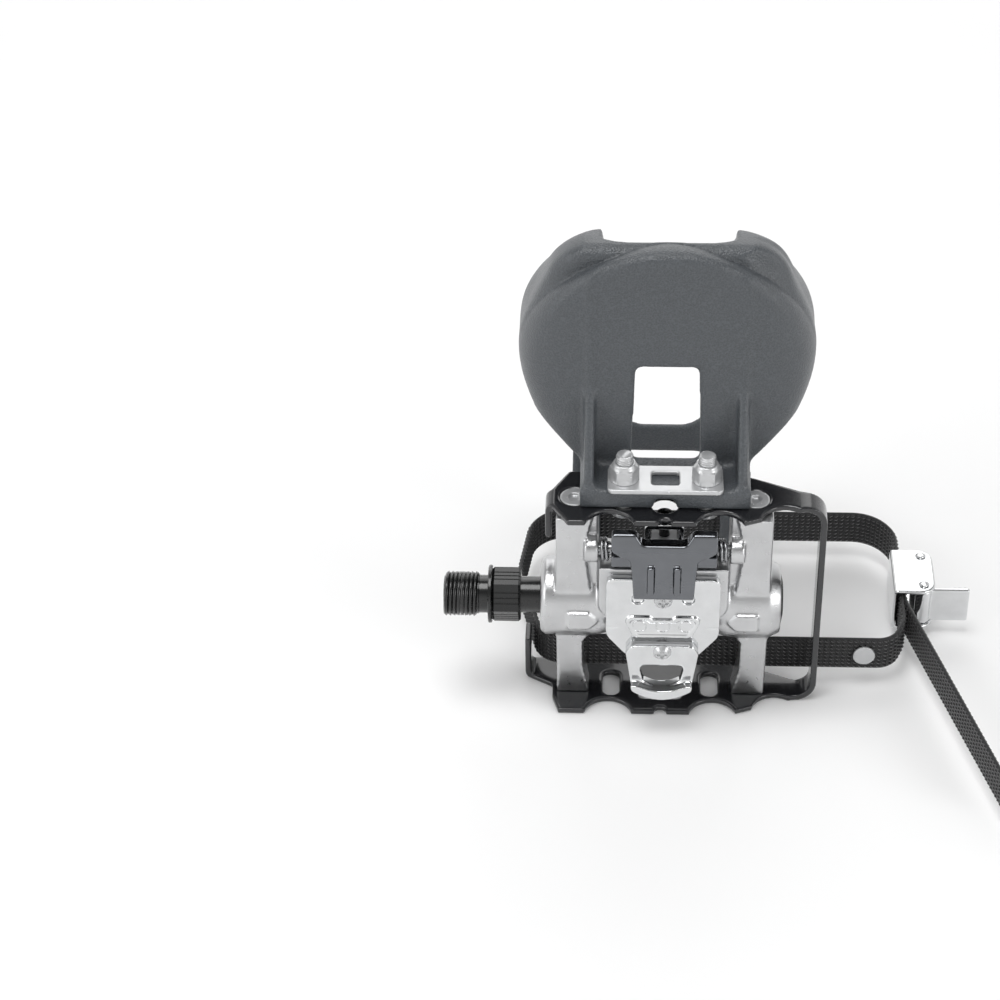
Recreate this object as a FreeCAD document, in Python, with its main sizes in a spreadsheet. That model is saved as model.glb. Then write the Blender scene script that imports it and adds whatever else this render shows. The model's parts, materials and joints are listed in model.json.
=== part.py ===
import FreeCAD, Part
import Sketcher
import math
import os

# Dual-sided bicycle pedal: a two-bolt cleat binding on one face, a toe clip with strap on the other.
# It stands on its heel plate. X runs outboard along the spindle, Z runs towards the toe,
# and the cleat face looks to minus Y. The origin is the middle of the crank thread, on the spindle axis.

# Driving dimensions, in millimetres and degrees
SIZES = [
    # Spindle
    ("thread_radius", 7.144, "crank thread, nine sixteenths of an inch across"),
    ("thread_length", 11.0, "length of the crank thread"),
    ("thread_chamfer", 0.8, "lead-in at the thread's tip"),
    ("neck_radius", 6.0, "relief behind the thread"),
    ("neck_length", 3.0, "relief behind the thread"),
    ("collar_radius", 9.2, "collar that seats on the crank"),
    ("collar_thickness", 1.2, "collar that seats on the crank"),
    ("wrench_flats", 15.0, "hexagon across its flats"),
    ("wrench_length", 9.0, "hexagon along the spindle"),
    ("shank_radius", 5.75, "round shank between hexagon and body"),
    ("shank_bare", 6.3, "bare shank between hexagon and body"),
    ("journal_radius", 4.2, "spindle inside the barrel"),
    ("tail_radius", 3.0, "threaded tail that carries cone and nut"),
    # Bearings
    ("ball_radius", 1.984, "bearing balls, five thirty-seconds across"),
    ("ball_count", 10, "balls in each row"),
    ("ball_play", 0.15, "gap between the balls and their races"),
    ("bearing_width", 4.4, "width of a ball row's pocket"),
    ("seal_width", 2.0, "inner seal ring"),
    ("seal_play", 0.3, "gap between seal and shank"),
    ("cone_length", 5.0, "outer cone"),
    ("washer_thickness", 1.0, "keyed washer behind the cone"),
    ("washer_radius", 5.0, "keyed washer behind the cone"),
    ("nut_flats", 10.0, "lock nut across its flats"),
    ("nut_length", 4.0, "lock nut"),
    ("thread_seat", 0.05, "gap between an inner thread and its bore"),
    # Cast body
    ("barrel_radius", 12.4, "barrel at the arms"),
    ("waist_radius", 10.6, "barrel at its waist"),
    ("boss_length", 5.0, "inboard boss"),
    ("boss_chamfer", 1.4, "edge of the inboard boss"),
    ("arm_spacing", 53.4, "between the centres of the two arms"),
    ("arm_width", 13.0, "arms at the barrel"),
    ("arm_end_width", 11.0, "arms where they meet the cage"),
    ("leg_width", 8.4, "narrow lower half of an arm"),
    ("foot_width", 10.4, "arms on the heel plate"),
    ("foot_front", 3.7, "feet ahead of the spindle axis"),
    ("panel_width", 8.6, "arms at their front panel's waist"),
    ("panel_step", 2.6, "front panel of an arm before the rest of it"),
    ("pad_rise", 0.9, "pads on the arms at the spindle"),
    ("pad_height", 6.2, "pads on the arms at the spindle"),
    ("arm_front", 9.0, "arms ahead of the spindle axis"),
    ("arm_back", 4.4, "arms behind the spindle axis"),
    ("arm_round", 1.4, "rounded edges of the arms"),
    ("end_dome", 3.6, "outboard boss beyond its arm"),
    ("bridge_width", 40.0, "cast seat of the binding"),
    ("bridge_top", 21.0, "cast seat above the axis"),
    ("bridge_drop", 10.8, "cast seat below the axis"),
    ("bridge_front", 12.6, "cast seat ahead of the axis"),
    # Cage
    ("cage_height", 79.0, "over both plates"),
    ("sheet", 2.0, "cage steel"),
    ("plate_front", 12.2, "plates ahead of the axis"),
    ("plate_back", 13.0, "plates behind the axis"),
    ("band_front", 4.2, "outboard band ahead of the axis"),
    ("band_back", 4.0, "outboard band behind the axis"),
    ("cage_reach", 113.0, "outer face of the outboard band"),
    ("cage_corner", 7.0, "outer radius of the cage corners"),
    ("heel_inboard", 19.5, "inboard end of the heel plate"),
    ("toe_inboard", 26.6, "inboard end of the toe plate"),
    ("heel_tab", 17.0, "tab bent up from the heel plate"),
    ("toe_tab", 13.0, "tab bent down from the toe plate"),
    ("scallop_radius", 7.7, "grip notches in the front edges"),
    ("scallop_depth", 5.8, "grip notches in the front edges"),
    ("scallop_spacing", 33.5, "between the two grip notches"),
    ("cage_screw_radius", 2.5, "countersunk cage screws"),
    ("cage_screw_head", 4.6, "countersunk cage screws"),
    ("cage_screw_length", 11.0, "countersunk cage screws"),
    ("slot_width", 5.4, "toe clip slots"),
    ("slot_length", 11.0, "toe clip slots"),
    ("heel_slot_spacing", 31.6, "between the slots in the heel plate"),
    ("heel_slot_back", 0.8, "heel plate slots behind the axis"),
    ("bolt_spacing", 25.0, "between the toe clip bolts"),
]
SIZES += [
    # Binding on the cleat face
    ("binding_half", 17.6, "half width of the fixed plate"),
    ("binding_sheet", 2.6, "fixed plate"),
    ("binding_top", 19.0, "fixed plate above the axis"),
    ("binding_drop", 11.5, "fixed plate below the axis"),
    ("jaw_sheet", 2.0, "wall of the moving jaw"),
    ("pin_lug", 4.2, "lugs on the arms that hold the pivot pin"),
    ("pin_seat", 3.2, "pivot pin inside each lug"),
    ("pivot_height", 26.0, "jaw pivot above the axis"),
    ("pivot_front", 8.6, "jaw pivot ahead of the axis"),
    ("pin_radius", 2.0, "jaw pivot pin"),
    ("pin_play", 0.08, "running fit of the jaw on its pin"),
    ("jaw_half", 16.2, "half width of the moving jaw"),
    ("jaw_waist", 10.2, "half width of the jaw's lower half"),
    ("jaw_lip", 14.0, "lower edge of the jaw above the axis"),
    ("jaw_ear", 3.0, "thickness of the jaw's horns"),
    ("jaw_lug", 4.3, "radius of the jaw ears"),
    ("horn_gap", 15.6, "cut between the jaw's two horns"),
    ("name_width", 24.8, "bare panel on the fixed plate"),
    ("name_foot", 18.0, "bare panel along its lower edge"),
    ("name_height", 8.4, "bare panel on the fixed plate"),
    ("name_top", 5.0, "bare panel above the axis"),
    ("name_rise", 1.1, "bare panel on the fixed plate"),
    ("claw_half", 11.4, "half width of the front claw"),
    ("claw_foot", 9.6, "half width of the claw at its bar"),
    ("claw_sheet", 3.0, "front claw"),
    ("claw_reach", 27.4, "front claw below the axis"),
    ("claw_lip", 3.0, "hooked bar of the front claw"),
    ("claw_slot", 14.0, "window in the front claw"),
    ("claw_slot_top", 13.1, "window in the front claw below the axis"),
    ("small_screw_head", 3.0, "cross-head screws"),
    ("small_screw_radius", 1.9, "cross-head screws"),
    ("small_screw_length", 7.0, "cross-head screws"),
    ("wire_radius", 0.55, "jaw springs"),
    ("coil_radius", 3.2, "jaw springs, to the middle of the wire"),
    ("coil_pitch", 1.25, "jaw springs"),
    ("coil_turns", 2.0, "jaw springs"),
    ("tension_back", 3.4, "tension screw ahead of the axis"),
    ("tension_radius", 1.6, "tension screw"),
    ("tension_head", 2.7, "tension screw head"),
    ("tension_socket", 1.5, "hexagon socket, to its corners"),
    ("tension_rise", 2.4, "tension screw head above its bracket"),
    ("bracket_half", 6.0, "half width of the tension bracket"),
    ("bracket_depth", 5.4, "tension bracket, front to back"),
    ("bracket_top", 33.4, "tension bracket above the axis"),
    ("bracket_sheet", 1.8, "tension bracket"),
    ("nut_height", 3.4, "tension nut"),
    # Toe clip
    ("clip_wall", 2.4, "moulded wall"),
    ("flange_height", 6.5, "clip flange on the toe plate"),
    ("flange_half", 26.0, "half width of the clip flange"),
    ("flange_front", 6.0, "clip flange ahead of the axis"),
    ("sole_back", 8.0, "sole wall behind the axis at the flange"),
    ("sole_lean", 0.07, "lean of the sole wall for each millimetre of height"),
    ("sole_round", 9.0, "rounded edge between sole and side"),
    ("clip_tip", 121.0, "front of the toe cup above the axis"),
    ("toe_round", 7.0, "rounded toe of the cup"),
    ("clip_width", 90.5, "toe cup at its widest"),
    ("arch_back", 79.0, "outside of the arch behind the axis, at the prongs"),
    ("prong_span", 66.0, "over both prongs"),
    ("prong_gap", 38.0, "between the prongs"),
    ("prong_end", 37.0, "prong ends below the axis"),
    ("front_opening", 43.0, "opening at the toe"),
    ("sole_window", 19.0, "window in the sole"),
    ("rib_sheet", 3.2, "gussets between flange and sole"),
    ("rib_height", 26.0, "gussets above the flange"),
    ("clip_bolt_radius", 2.5, "toe clip bolts"),
    ("clip_bolt_front", 0.8, "toe clip bolts ahead of the axis"),
    ("clip_bolt_head", 4.4, "toe clip bolt heads"),
    ("clip_bolt_rise", 9.0, "bolt tips above the backing plate"),
    ("clip_nut_flats", 8.0, "toe clip nuts across their flats"),
    ("clip_nut_height", 4.6, "toe clip nuts"),
    ("backing_half", 17.6, "half width of the backing plate"),
    ("backing_depth", 13.0, "backing plate, front to back"),
    ("backing_sheet", 1.6, "backing plate"),
    # Strap and buckle
    ("strap_width", 12.5, "webbing"),
    ("strap_sheet", 1.8, "webbing"),
    ("strap_lift", 10.0, "middle of the webbing above the heel plate"),
    ("tail_run", 83.0, "loose end of the webbing towards the front"),
    ("strap_front", 5.1, "front run behind the axis"),
    ("strap_play", 0.5, "gap between the webbing and what guides it"),
    ("prong_crown", 5.0, "room for the prongs' crown behind the webbing"),
    ("rivet_radius", 3.6, "strap rivet"),
    ("rivet_shank", 1.5, "strap rivet"),
    ("rivet_head", 0.9, "strap rivet heads"),
    ("buckle_sheet", 1.2, "buckle frame"),
    ("buckle_length", 22.0, "buckle frame along the webbing"),
    ("buckle_depth", 12.5, "buckle frame across the webbing's thickness"),
    ("buckle_pin", 1.3, "buckle pins"),
    ("roller_radius", 2.4, "buckle roller"),
    ("lever_length", 15.0, "thumb lever"),
    ("lever_sheet", 1.6, "thumb lever"),
    ("lever_cam", 2.6, "cam of the thumb lever"),
    ("buckle_round", 5.0, "rounded ends of the buckle frame"),
    ("grip_radius", 0.5, "grip ridges on the thumb lever"),
]


class Size:
    """A length with its number and the spreadsheet formula that gives it."""

    def __init__(self, value, formula):
        self.value = float(value)
        self.formula = formula

    def __add__(self, other):
        other = as_size(other)
        return Size(self.value + other.value, f"({self.formula} + {other.formula})")

    def __sub__(self, other):
        other = as_size(other)
        return Size(self.value - other.value, f"({self.formula} - {other.formula})")

    def __mul__(self, factor):
        factor = as_size(factor)
        return Size(self.value * factor.value, f"({self.formula} * {factor.formula})")

    def __truediv__(self, factor):
        factor = as_size(factor)
        return Size(self.value / factor.value, f"({self.formula} / {factor.formula})")

    def __neg__(self):
        return Size(-self.value, f"(-1 * {self.formula})")


def as_size(number):
    if isinstance(number, Size):
        return number
    return Size(number, f"({float(number)!r})")


class Dimensions:
    """Every spreadsheet cell by its alias."""


# Document and spreadsheet
doc = FreeCAD.newDocument("pedal")
sheet = doc.addObject("Spreadsheet::Sheet", "Dims")
d = Dimensions()
for row, (alias, number, note) in enumerate(SIZES, start=1):
    sheet.set(f"A{row}", note)
    sheet.set(f"B{row}", str(number))
    sheet.setAlias(f"B{row}", alias)
    setattr(d, alias, Size(number, f"Dims.{alias}"))
doc.recompute()

AXES = {
    "X": FreeCAD.Rotation(FreeCAD.Vector(0, 1, 0), FreeCAD.Vector(0, 0, 1), FreeCAD.Vector(1, 0, 0), "ZXY"),
    "Y": FreeCAD.Rotation(FreeCAD.Vector(0, 0, 1), FreeCAD.Vector(1, 0, 0), FreeCAD.Vector(0, 1, 0), "ZXY"),
    "Z": FreeCAD.Rotation(),
}
PLANES = {"YZ": AXES["X"], "XY": AXES["Z"], "XZ": FreeCAD.Rotation(FreeCAD.Vector(1, 0, 0), 90)}
names_used = {}


def add(kind, name):
    """A document object with a name of its own."""
    names_used[name] = names_used.get(name, 0) + 1
    return doc.addObject(kind, f"{name}_{names_used[name]}")


def bind(item, prop, size):
    item.setExpression(prop, as_size(size).formula)


def place(item, x, y, z, turn=None):
    x, y, z = as_size(x), as_size(y), as_size(z)
    item.Placement = FreeCAD.Placement(FreeCAD.Vector(x.value, y.value, z.value), turn or FreeCAD.Rotation())
    bind(item, "Placement.Base.x", x)
    bind(item, "Placement.Base.y", y)
    bind(item, "Placement.Base.z", z)
    return item


def block(name, x, y, z):
    """A box between two values on each axis."""
    item = add("Part::Box", name)
    bind(item, "Length", as_size(x[1]) - x[0])
    bind(item, "Width", as_size(y[1]) - y[0])
    bind(item, "Height", as_size(z[1]) - z[0])
    return place(item, x[0], y[0], z[0])


def rod(name, axis, radius, length, x, y, z):
    """A cylinder along an axis from a start point."""
    item = add("Part::Cylinder", name)
    bind(item, "Radius", radius)
    bind(item, "Height", length)
    return place(item, x, y, z, AXES[axis])


def taper(name, axis, start_radius, end_radius, length, x, y, z):
    """A cone along an axis from a start point."""
    item = add("Part::Cone", name)
    bind(item, "Radius1", start_radius)
    bind(item, "Radius2", end_radius)
    bind(item, "Height", length)
    return place(item, x, y, z, AXES[axis])


def hexagon(name, axis, flats, length, x, y, z):
    """A hexagonal prism along an axis from a start point."""
    item = add("Part::Prism", name)
    item.Polygon = 6
    bind(item, "Circumradius", as_size(flats) / math.sqrt(3.0))
    bind(item, "Height", length)
    return place(item, x, y, z, AXES[axis])


def ball(name, radius, x, y, z):
    item = add("Part::Sphere", name)
    bind(item, "Radius", radius)
    return place(item, x, y, z)


def draw(sketch, corners):
    """A closed outline in a sketch: corners of two sizes, and a third where the corner is rounded."""
    points = [FreeCAD.Vector(as_size(c[0]).value, as_size(c[1]).value, 0) for c in corners]
    count = len(corners)
    enters, leaves, arcs = [], [], []
    for i, corner in enumerate(corners):
        if len(corner) == 2:
            enters.append(points[i])
            leaves.append(points[i])
            arcs.append(None)
            continue
        radius = as_size(corner[2]).value
        before = (points[i - 1] - points[i]).normalize()
        after = (points[(i + 1) % count] - points[i]).normalize()
        half = before.getAngle(after) / 2
        reach = radius / math.tan(half)
        enters.append(points[i] + before * reach)
        leaves.append(points[i] + after * reach)
        centre = points[i] + (before + after).normalize() * (radius / math.sin(half))
        arcs.append((centre, radius, after.cross(before).z > 0))
    for i in range(count):
        sketch.addGeometry(Part.LineSegment(leaves[i], enters[(i + 1) % count]))
    for i, corner in enumerate(corners):
        last = (i - 1) % count
        if arcs[i] is None:
            sketch.addConstraint(Sketcher.Constraint("Coincident", last, 2, i, 1))
            pin_point(sketch, i, corner)
            continue
        centre, radius, left_turn = arcs[i]
        first, second = (enters[i], leaves[i]) if left_turn else (leaves[i], enters[i])
        start = math.atan2(first.y - centre.y, first.x - centre.x)
        end = math.atan2(second.y - centre.y, second.x - centre.x)
        circle = Part.Circle(centre, FreeCAD.Vector(0, 0, 1), radius)
        arc = sketch.addGeometry(Part.ArcOfCircle(circle, start, end))
        enter_end, leave_end = (1, 2) if left_turn else (2, 1)
        sketch.addConstraint(Sketcher.Constraint("Tangent", last, 2, arc, enter_end))
        sketch.addConstraint(Sketcher.Constraint("Tangent", arc, leave_end, i, 1))
        number = sketch.addConstraint(Sketcher.Constraint("Radius", arc, radius))
        bind(sketch, f"Constraints[{number}]", corner[2])
        vertex = sketch.addGeometry(Part.Point(points[i]), True)
        sketch.addConstraint(Sketcher.Constraint("PointOnObject", vertex, 1, last))
        sketch.addConstraint(Sketcher.Constraint("PointOnObject", vertex, 1, i))
        pin_point(sketch, vertex, corner)


def pin_point(sketch, geometry, corner):
    """Hold a point at two sizes from the sketch origin."""
    for kind, size in (("DistanceX", corner[0]), ("DistanceY", corner[1])):
        constraint = Sketcher.Constraint(kind, -1, 1, geometry, 1, as_size(size).value)
        bind(sketch, f"Constraints[{sketch.addConstraint(constraint)}]", size)


def outline(name, plane, level, corners):
    """A sketch on a plane at a level along its normal axis."""
    sketch = add("Sketcher::SketchObject", name)
    x, y, z = {"YZ": (level, 0, 0), "XZ": (0, level, 0), "XY": (0, 0, level)}[plane]
    place(sketch, x, y, z, PLANES[plane])
    draw(sketch, corners)
    return sketch


def slab(name, plane, span, corners):
    """An outline drawn out between two levels of the axis across its plane."""
    low, high = span
    item = add("Part::Extrusion", name)
    item.Base = outline(f"{name}_outline", plane, high if plane == "XZ" else low, corners)
    item.DirMode = "Normal"
    item.Solid = True
    bind(item, "LengthFwd", as_size(high) - low)
    return item


def turned(name, profile):
    """A body of revolution about the spindle axis, from stations and radii."""
    body = add("PartDesign::Body", name)
    sketch = body.newObject("Sketcher::SketchObject", f"{body.Name}_profile")
    plane = [f for f in body.Origin.OriginFeatures if f.Role == "XY_Plane"][0]
    sketch.AttachmentSupport = [(plane, "")]
    sketch.MapMode = "FlatFace"
    draw(sketch, profile)
    turn = body.newObject("PartDesign::Revolution", f"{body.Name}_turn")
    turn.Profile = sketch
    turn.ReferenceAxis = (sketch, ["H_Axis"])
    turn.Angle = 360
    return body


def fuse(name, *pieces):
    if len(pieces) == 1:
        return pieces[0]
    item = add("Part::MultiFuse", name)
    item.Shapes = list(pieces)
    item.Refine = True
    return item


def cut(name, base, *tools):
    item = add("Part::Cut", name)
    item.Base = base
    item.Tool = tools[0] if len(tools) == 1 else fuse(f"{name}_tools", *tools)
    item.Refine = True
    return item


def shared(name, *pieces):
    """What several solids have in common."""
    item = add("Part::MultiCommon", name)
    item.Shapes = list(pieces)
    item.Refine = True
    return item


def group(name, pieces):
    """Like pieces that stay separate solids."""
    item = add("Part::Compound", name)
    item.Links = pieces
    return item


nodes = {}


def keep(label, item):
    item.Label = label
    nodes[label] = item
    return item


# Stations along the spindle
thread_end = d.thread_length / 2
collar_start = thread_end + d.neck_length
wrench_start = collar_start + d.collar_thickness
wrench_end = wrench_start + d.wrench_length
body_start = wrench_end + d.shank_bare
inboard_face = body_start + d.boss_length
first_arm = inboard_face + d.arm_width / 2
middle = first_arm + d.arm_spacing / 2
outboard_face = inboard_face + d.arm_spacing + d.arm_width
body_end = outboard_face + d.end_dome
inner_row = body_start + d.seal_width + d.seal_play + d.bearing_width / 2
inner_pocket_end = inner_row + d.bearing_width / 2
outer_pocket = middle + d.arm_spacing / 2 - d.cone_length
outer_row = outer_pocket + d.bearing_width / 2
washer_start = outer_pocket + d.cone_length
nut_start = washer_start + d.washer_thickness
tail_end = nut_start + d.nut_length + d.thread_chamfer
cone_radius = d.journal_radius + d.thread_chamfer
inner_pitch = d.shank_radius + d.ball_play + d.ball_radius
outer_pitch = cone_radius + d.ball_play + d.ball_radius
inner_cup = inner_pitch + d.ball_radius + d.ball_play
outer_cup = outer_pitch + d.ball_radius + d.ball_play
bore = d.journal_radius + d.ball_radius

pin_length = (d.arm_spacing - d.arm_width) + d.pin_seat * 2

# Levels of the cage
plate_outer = d.cage_height / 2
plate_inner = plate_outer - d.sheet


def make_spindle():
    profile = [
        (-thread_end, 0),
        (-thread_end, d.thread_radius - d.thread_chamfer),
        (-thread_end + d.thread_chamfer, d.thread_radius),
        (thread_end, d.thread_radius),
        (thread_end, d.neck_radius),
        (collar_start, d.neck_radius),
        (collar_start, d.collar_radius),
        (wrench_start, d.collar_radius),
        (wrench_start, d.shank_radius),
        (inner_pocket_end, d.shank_radius),
        (inner_pocket_end + d.thread_chamfer, d.journal_radius),
        (outer_pocket, d.journal_radius),
        (outer_pocket, d.tail_radius),
        (tail_end, d.tail_radius),
        (tail_end, 0),
    ]
    flats = hexagon("wrench", "X", d.wrench_flats, d.wrench_length, wrench_start, 0, 0)
    keep("spindle", fuse("spindle", turned("spindle_core", profile), flats))


def ring(name, start, end, inner, outer):
    return turned(name, [(start, inner), (start, outer), (end, outer), (end, inner)])


def make_bearings():
    rows = (("inner_balls", inner_row, inner_pitch), ("outer_balls", outer_row, outer_pitch))
    for label, station, pitch in rows:
        balls = []
        for i in range(int(d.ball_count.value)):
            angle = 2 * math.pi * i / d.ball_count.value
            y, z = pitch * math.cos(angle), pitch * math.sin(angle)
            balls.append(ball(label, d.ball_radius, station, y, z))
        keep(label, group(label, balls))
    seal_end = body_start + d.seal_width
    keep("inner_seal", ring("inner_seal", body_start, seal_end, d.shank_radius + d.seal_play, inner_cup))
    seat = d.tail_radius + d.thread_seat
    keep("outer_cone", ring("outer_cone", outer_pocket, washer_start, seat, cone_radius))
    keep("lock_washer", ring("lock_washer", washer_start, nut_start, seat, d.washer_radius))
    nut = hexagon("lock_nut", "X", d.nut_flats, d.nut_length, nut_start, 0, 0)
    keep("lock_nut", cut("lock_nut", nut, rod("lock_nut_bore", "X", seat, d.nut_length, nut_start, 0, 0)))
    cap_start = tail_end + d.thread_chamfer
    keep("dust_cap", turned("dust_cap", [
        (cap_start, 0),
        (cap_start, outer_cup - d.thread_seat),
        (body_end, outer_cup - d.thread_seat),
        (body_end + d.thread_chamfer, outer_cup - d.end_dome),
        (body_end + d.thread_chamfer, 0),
    ]))


def arm(name, face, inward):
    """One cast arm from toe plate to heel plate: a narrow front panel before a wider back."""
    def at(step):
        return face + inward * step
    waist, shoulder = d.pivot_height, d.barrel_radius / 2
    leg_top, leg_low = -d.barrel_radius, -plate_inner + d.barrel_radius
    foot = [
        (at(d.arm_width), -d.boss_length),
        (at(d.leg_width), leg_top, d.end_dome),
        (at(d.leg_width), leg_low, d.barrel_radius),
        (at(d.foot_width), -plate_inner),
        (at(0), -plate_inner),
    ]
    front = slab(f"{name}_front", "XZ", (-d.arm_front, d.arm_back), [
        (at(0), plate_inner),
        (at(d.arm_end_width), plate_inner),
        (at(d.panel_width), waist, d.boss_length),
        (at(d.arm_end_width), shoulder, d.boss_length),
        *foot])
    back = slab(f"{name}_back", "XZ", (d.panel_step - d.arm_front, d.arm_back), [
        (at(0), plate_inner),
        (at(d.arm_width), plate_inner),
        *foot])
    side = slab(f"{name}_side", "YZ", (body_start, body_end), [
        (-d.arm_front, plate_inner),
        (d.arm_back, plate_inner),
        (d.arm_back, -plate_inner),
        (-d.foot_front, -plate_inner),
        (-d.arm_front, -d.pad_height, d.barrel_radius)])
    pad_half = d.pad_height / 2
    pad = slab(f"{name}_pad", "XZ", (-d.barrel_radius - d.pad_rise, -d.arm_front), [
        (at(d.end_dome), pad_half),
        (at(d.foot_width), pad_half),
        (at(d.foot_width + d.panel_step), 0),
        (at(d.foot_width), -pad_half),
        (at(d.end_dome), -pad_half)])
    lug_out, lug_in = at(d.panel_width), at(d.arm_width)
    lug_start = lug_out if lug_out.value < lug_in.value else lug_in
    lug_length = d.arm_width - d.panel_width
    lug = rod(f"{name}_lug", "X", d.pin_lug, lug_length, lug_start, -d.pivot_front, d.pivot_height)
    return fuse(name, shared(f"{name}_shape", fuse(f"{name}_blank", front, back), side), pad, lug)


def make_body():
    waist = d.arm_width + d.boss_length
    core = turned("barrel", [
        (body_start, 0),
        (body_start, d.barrel_radius - d.boss_chamfer),
        (body_start + d.boss_chamfer, d.barrel_radius),
        (inboard_face + d.arm_width, d.barrel_radius, d.barrel_radius),
        (inboard_face + waist, d.waist_radius, d.barrel_radius),
        (outboard_face - waist, d.waist_radius, d.barrel_radius),
        (outboard_face - d.arm_width, d.barrel_radius, d.barrel_radius),
        (outboard_face, d.barrel_radius, d.end_dome),
        (body_end, outer_cup + d.arm_round),
        (body_end, 0),
    ])
    shoulder, waist, foot = d.bridge_width / 2, d.binding_half - d.arm_round, d.claw_half
    seat = slab("bridge", "XZ", (-d.bridge_front, 0), [
        (middle - shoulder, d.bridge_top),
        (middle - shoulder, d.boss_length, d.boss_length),
        (middle - waist, 0),
        (middle - waist, -d.end_dome),
        (middle - foot, -d.bridge_drop, d.arm_round),
        (middle + foot, -d.bridge_drop, d.arm_round),
        (middle + waist, -d.end_dome),
        (middle + waist, 0),
        (middle + shoulder, d.boss_length, d.boss_length),
        (middle + shoulder, d.bridge_top)])
    left = arm("inboard_arm", inboard_face, as_size(1))
    right = arm("outboard_arm", outboard_face, as_size(-1))
    solid = fuse("casting", core, left, right, seat)
    tools = [
        rod("inner_pocket", "X", inner_cup, inner_pocket_end - body_start, body_start, 0, 0),
        rod("through_bore", "X", bore, body_end - body_start, body_start, 0, 0),
        rod("outer_pocket", "X", outer_cup, body_end - outer_pocket, outer_pocket, 0, 0),
        pin_rod("pin_seat", d.pin_radius + d.thread_seat, pin_length),
    ]
    for x in cage_screw_stations():
        for z in (plate_inner - d.cage_screw_length, -plate_inner):
            radius = d.cage_screw_radius + d.thread_seat
            tools.append(rod("cage_screw_hole", "Z", radius, d.cage_screw_length, x, 0, z))
    for x, z, start in small_screw_places():
        tools.append(rod("small_screw_hole", "Y", d.small_screw_radius + d.thread_seat, d.small_screw_length,
                         x, -d.bridge_front, z))
    keep("pedal_body", cut("pedal_body", solid, *tools))


def cage_screw_stations():
    return [inboard_face + d.arm_end_width / 2, outboard_face - d.arm_end_width / 2]


def small_screw_places():
    """Cross-head screws: along X, along Z, and the face that each one seats on."""
    face = -d.bridge_front - d.binding_sheet
    return [(middle, d.barrel_radius - d.arm_round, face),
            (middle, -d.binding_drop + d.small_screw_head + d.name_rise, face - d.claw_sheet)]


SHEET_BEND = 1.6
SHEET_INSIDE_BEND = 0.6
SLOT_END = 0.9


def slot(name, levels, x, y, half_width, half_length, radius):
    """A slot with rounded ends through the plates, between two levels."""
    return slab(name, "XY", levels, [
        (x - half_width, y - half_length, radius), (x + half_width, y - half_length, radius),
        (x + half_width, y + half_length, radius), (x - half_width, y + half_length, radius)])


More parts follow.
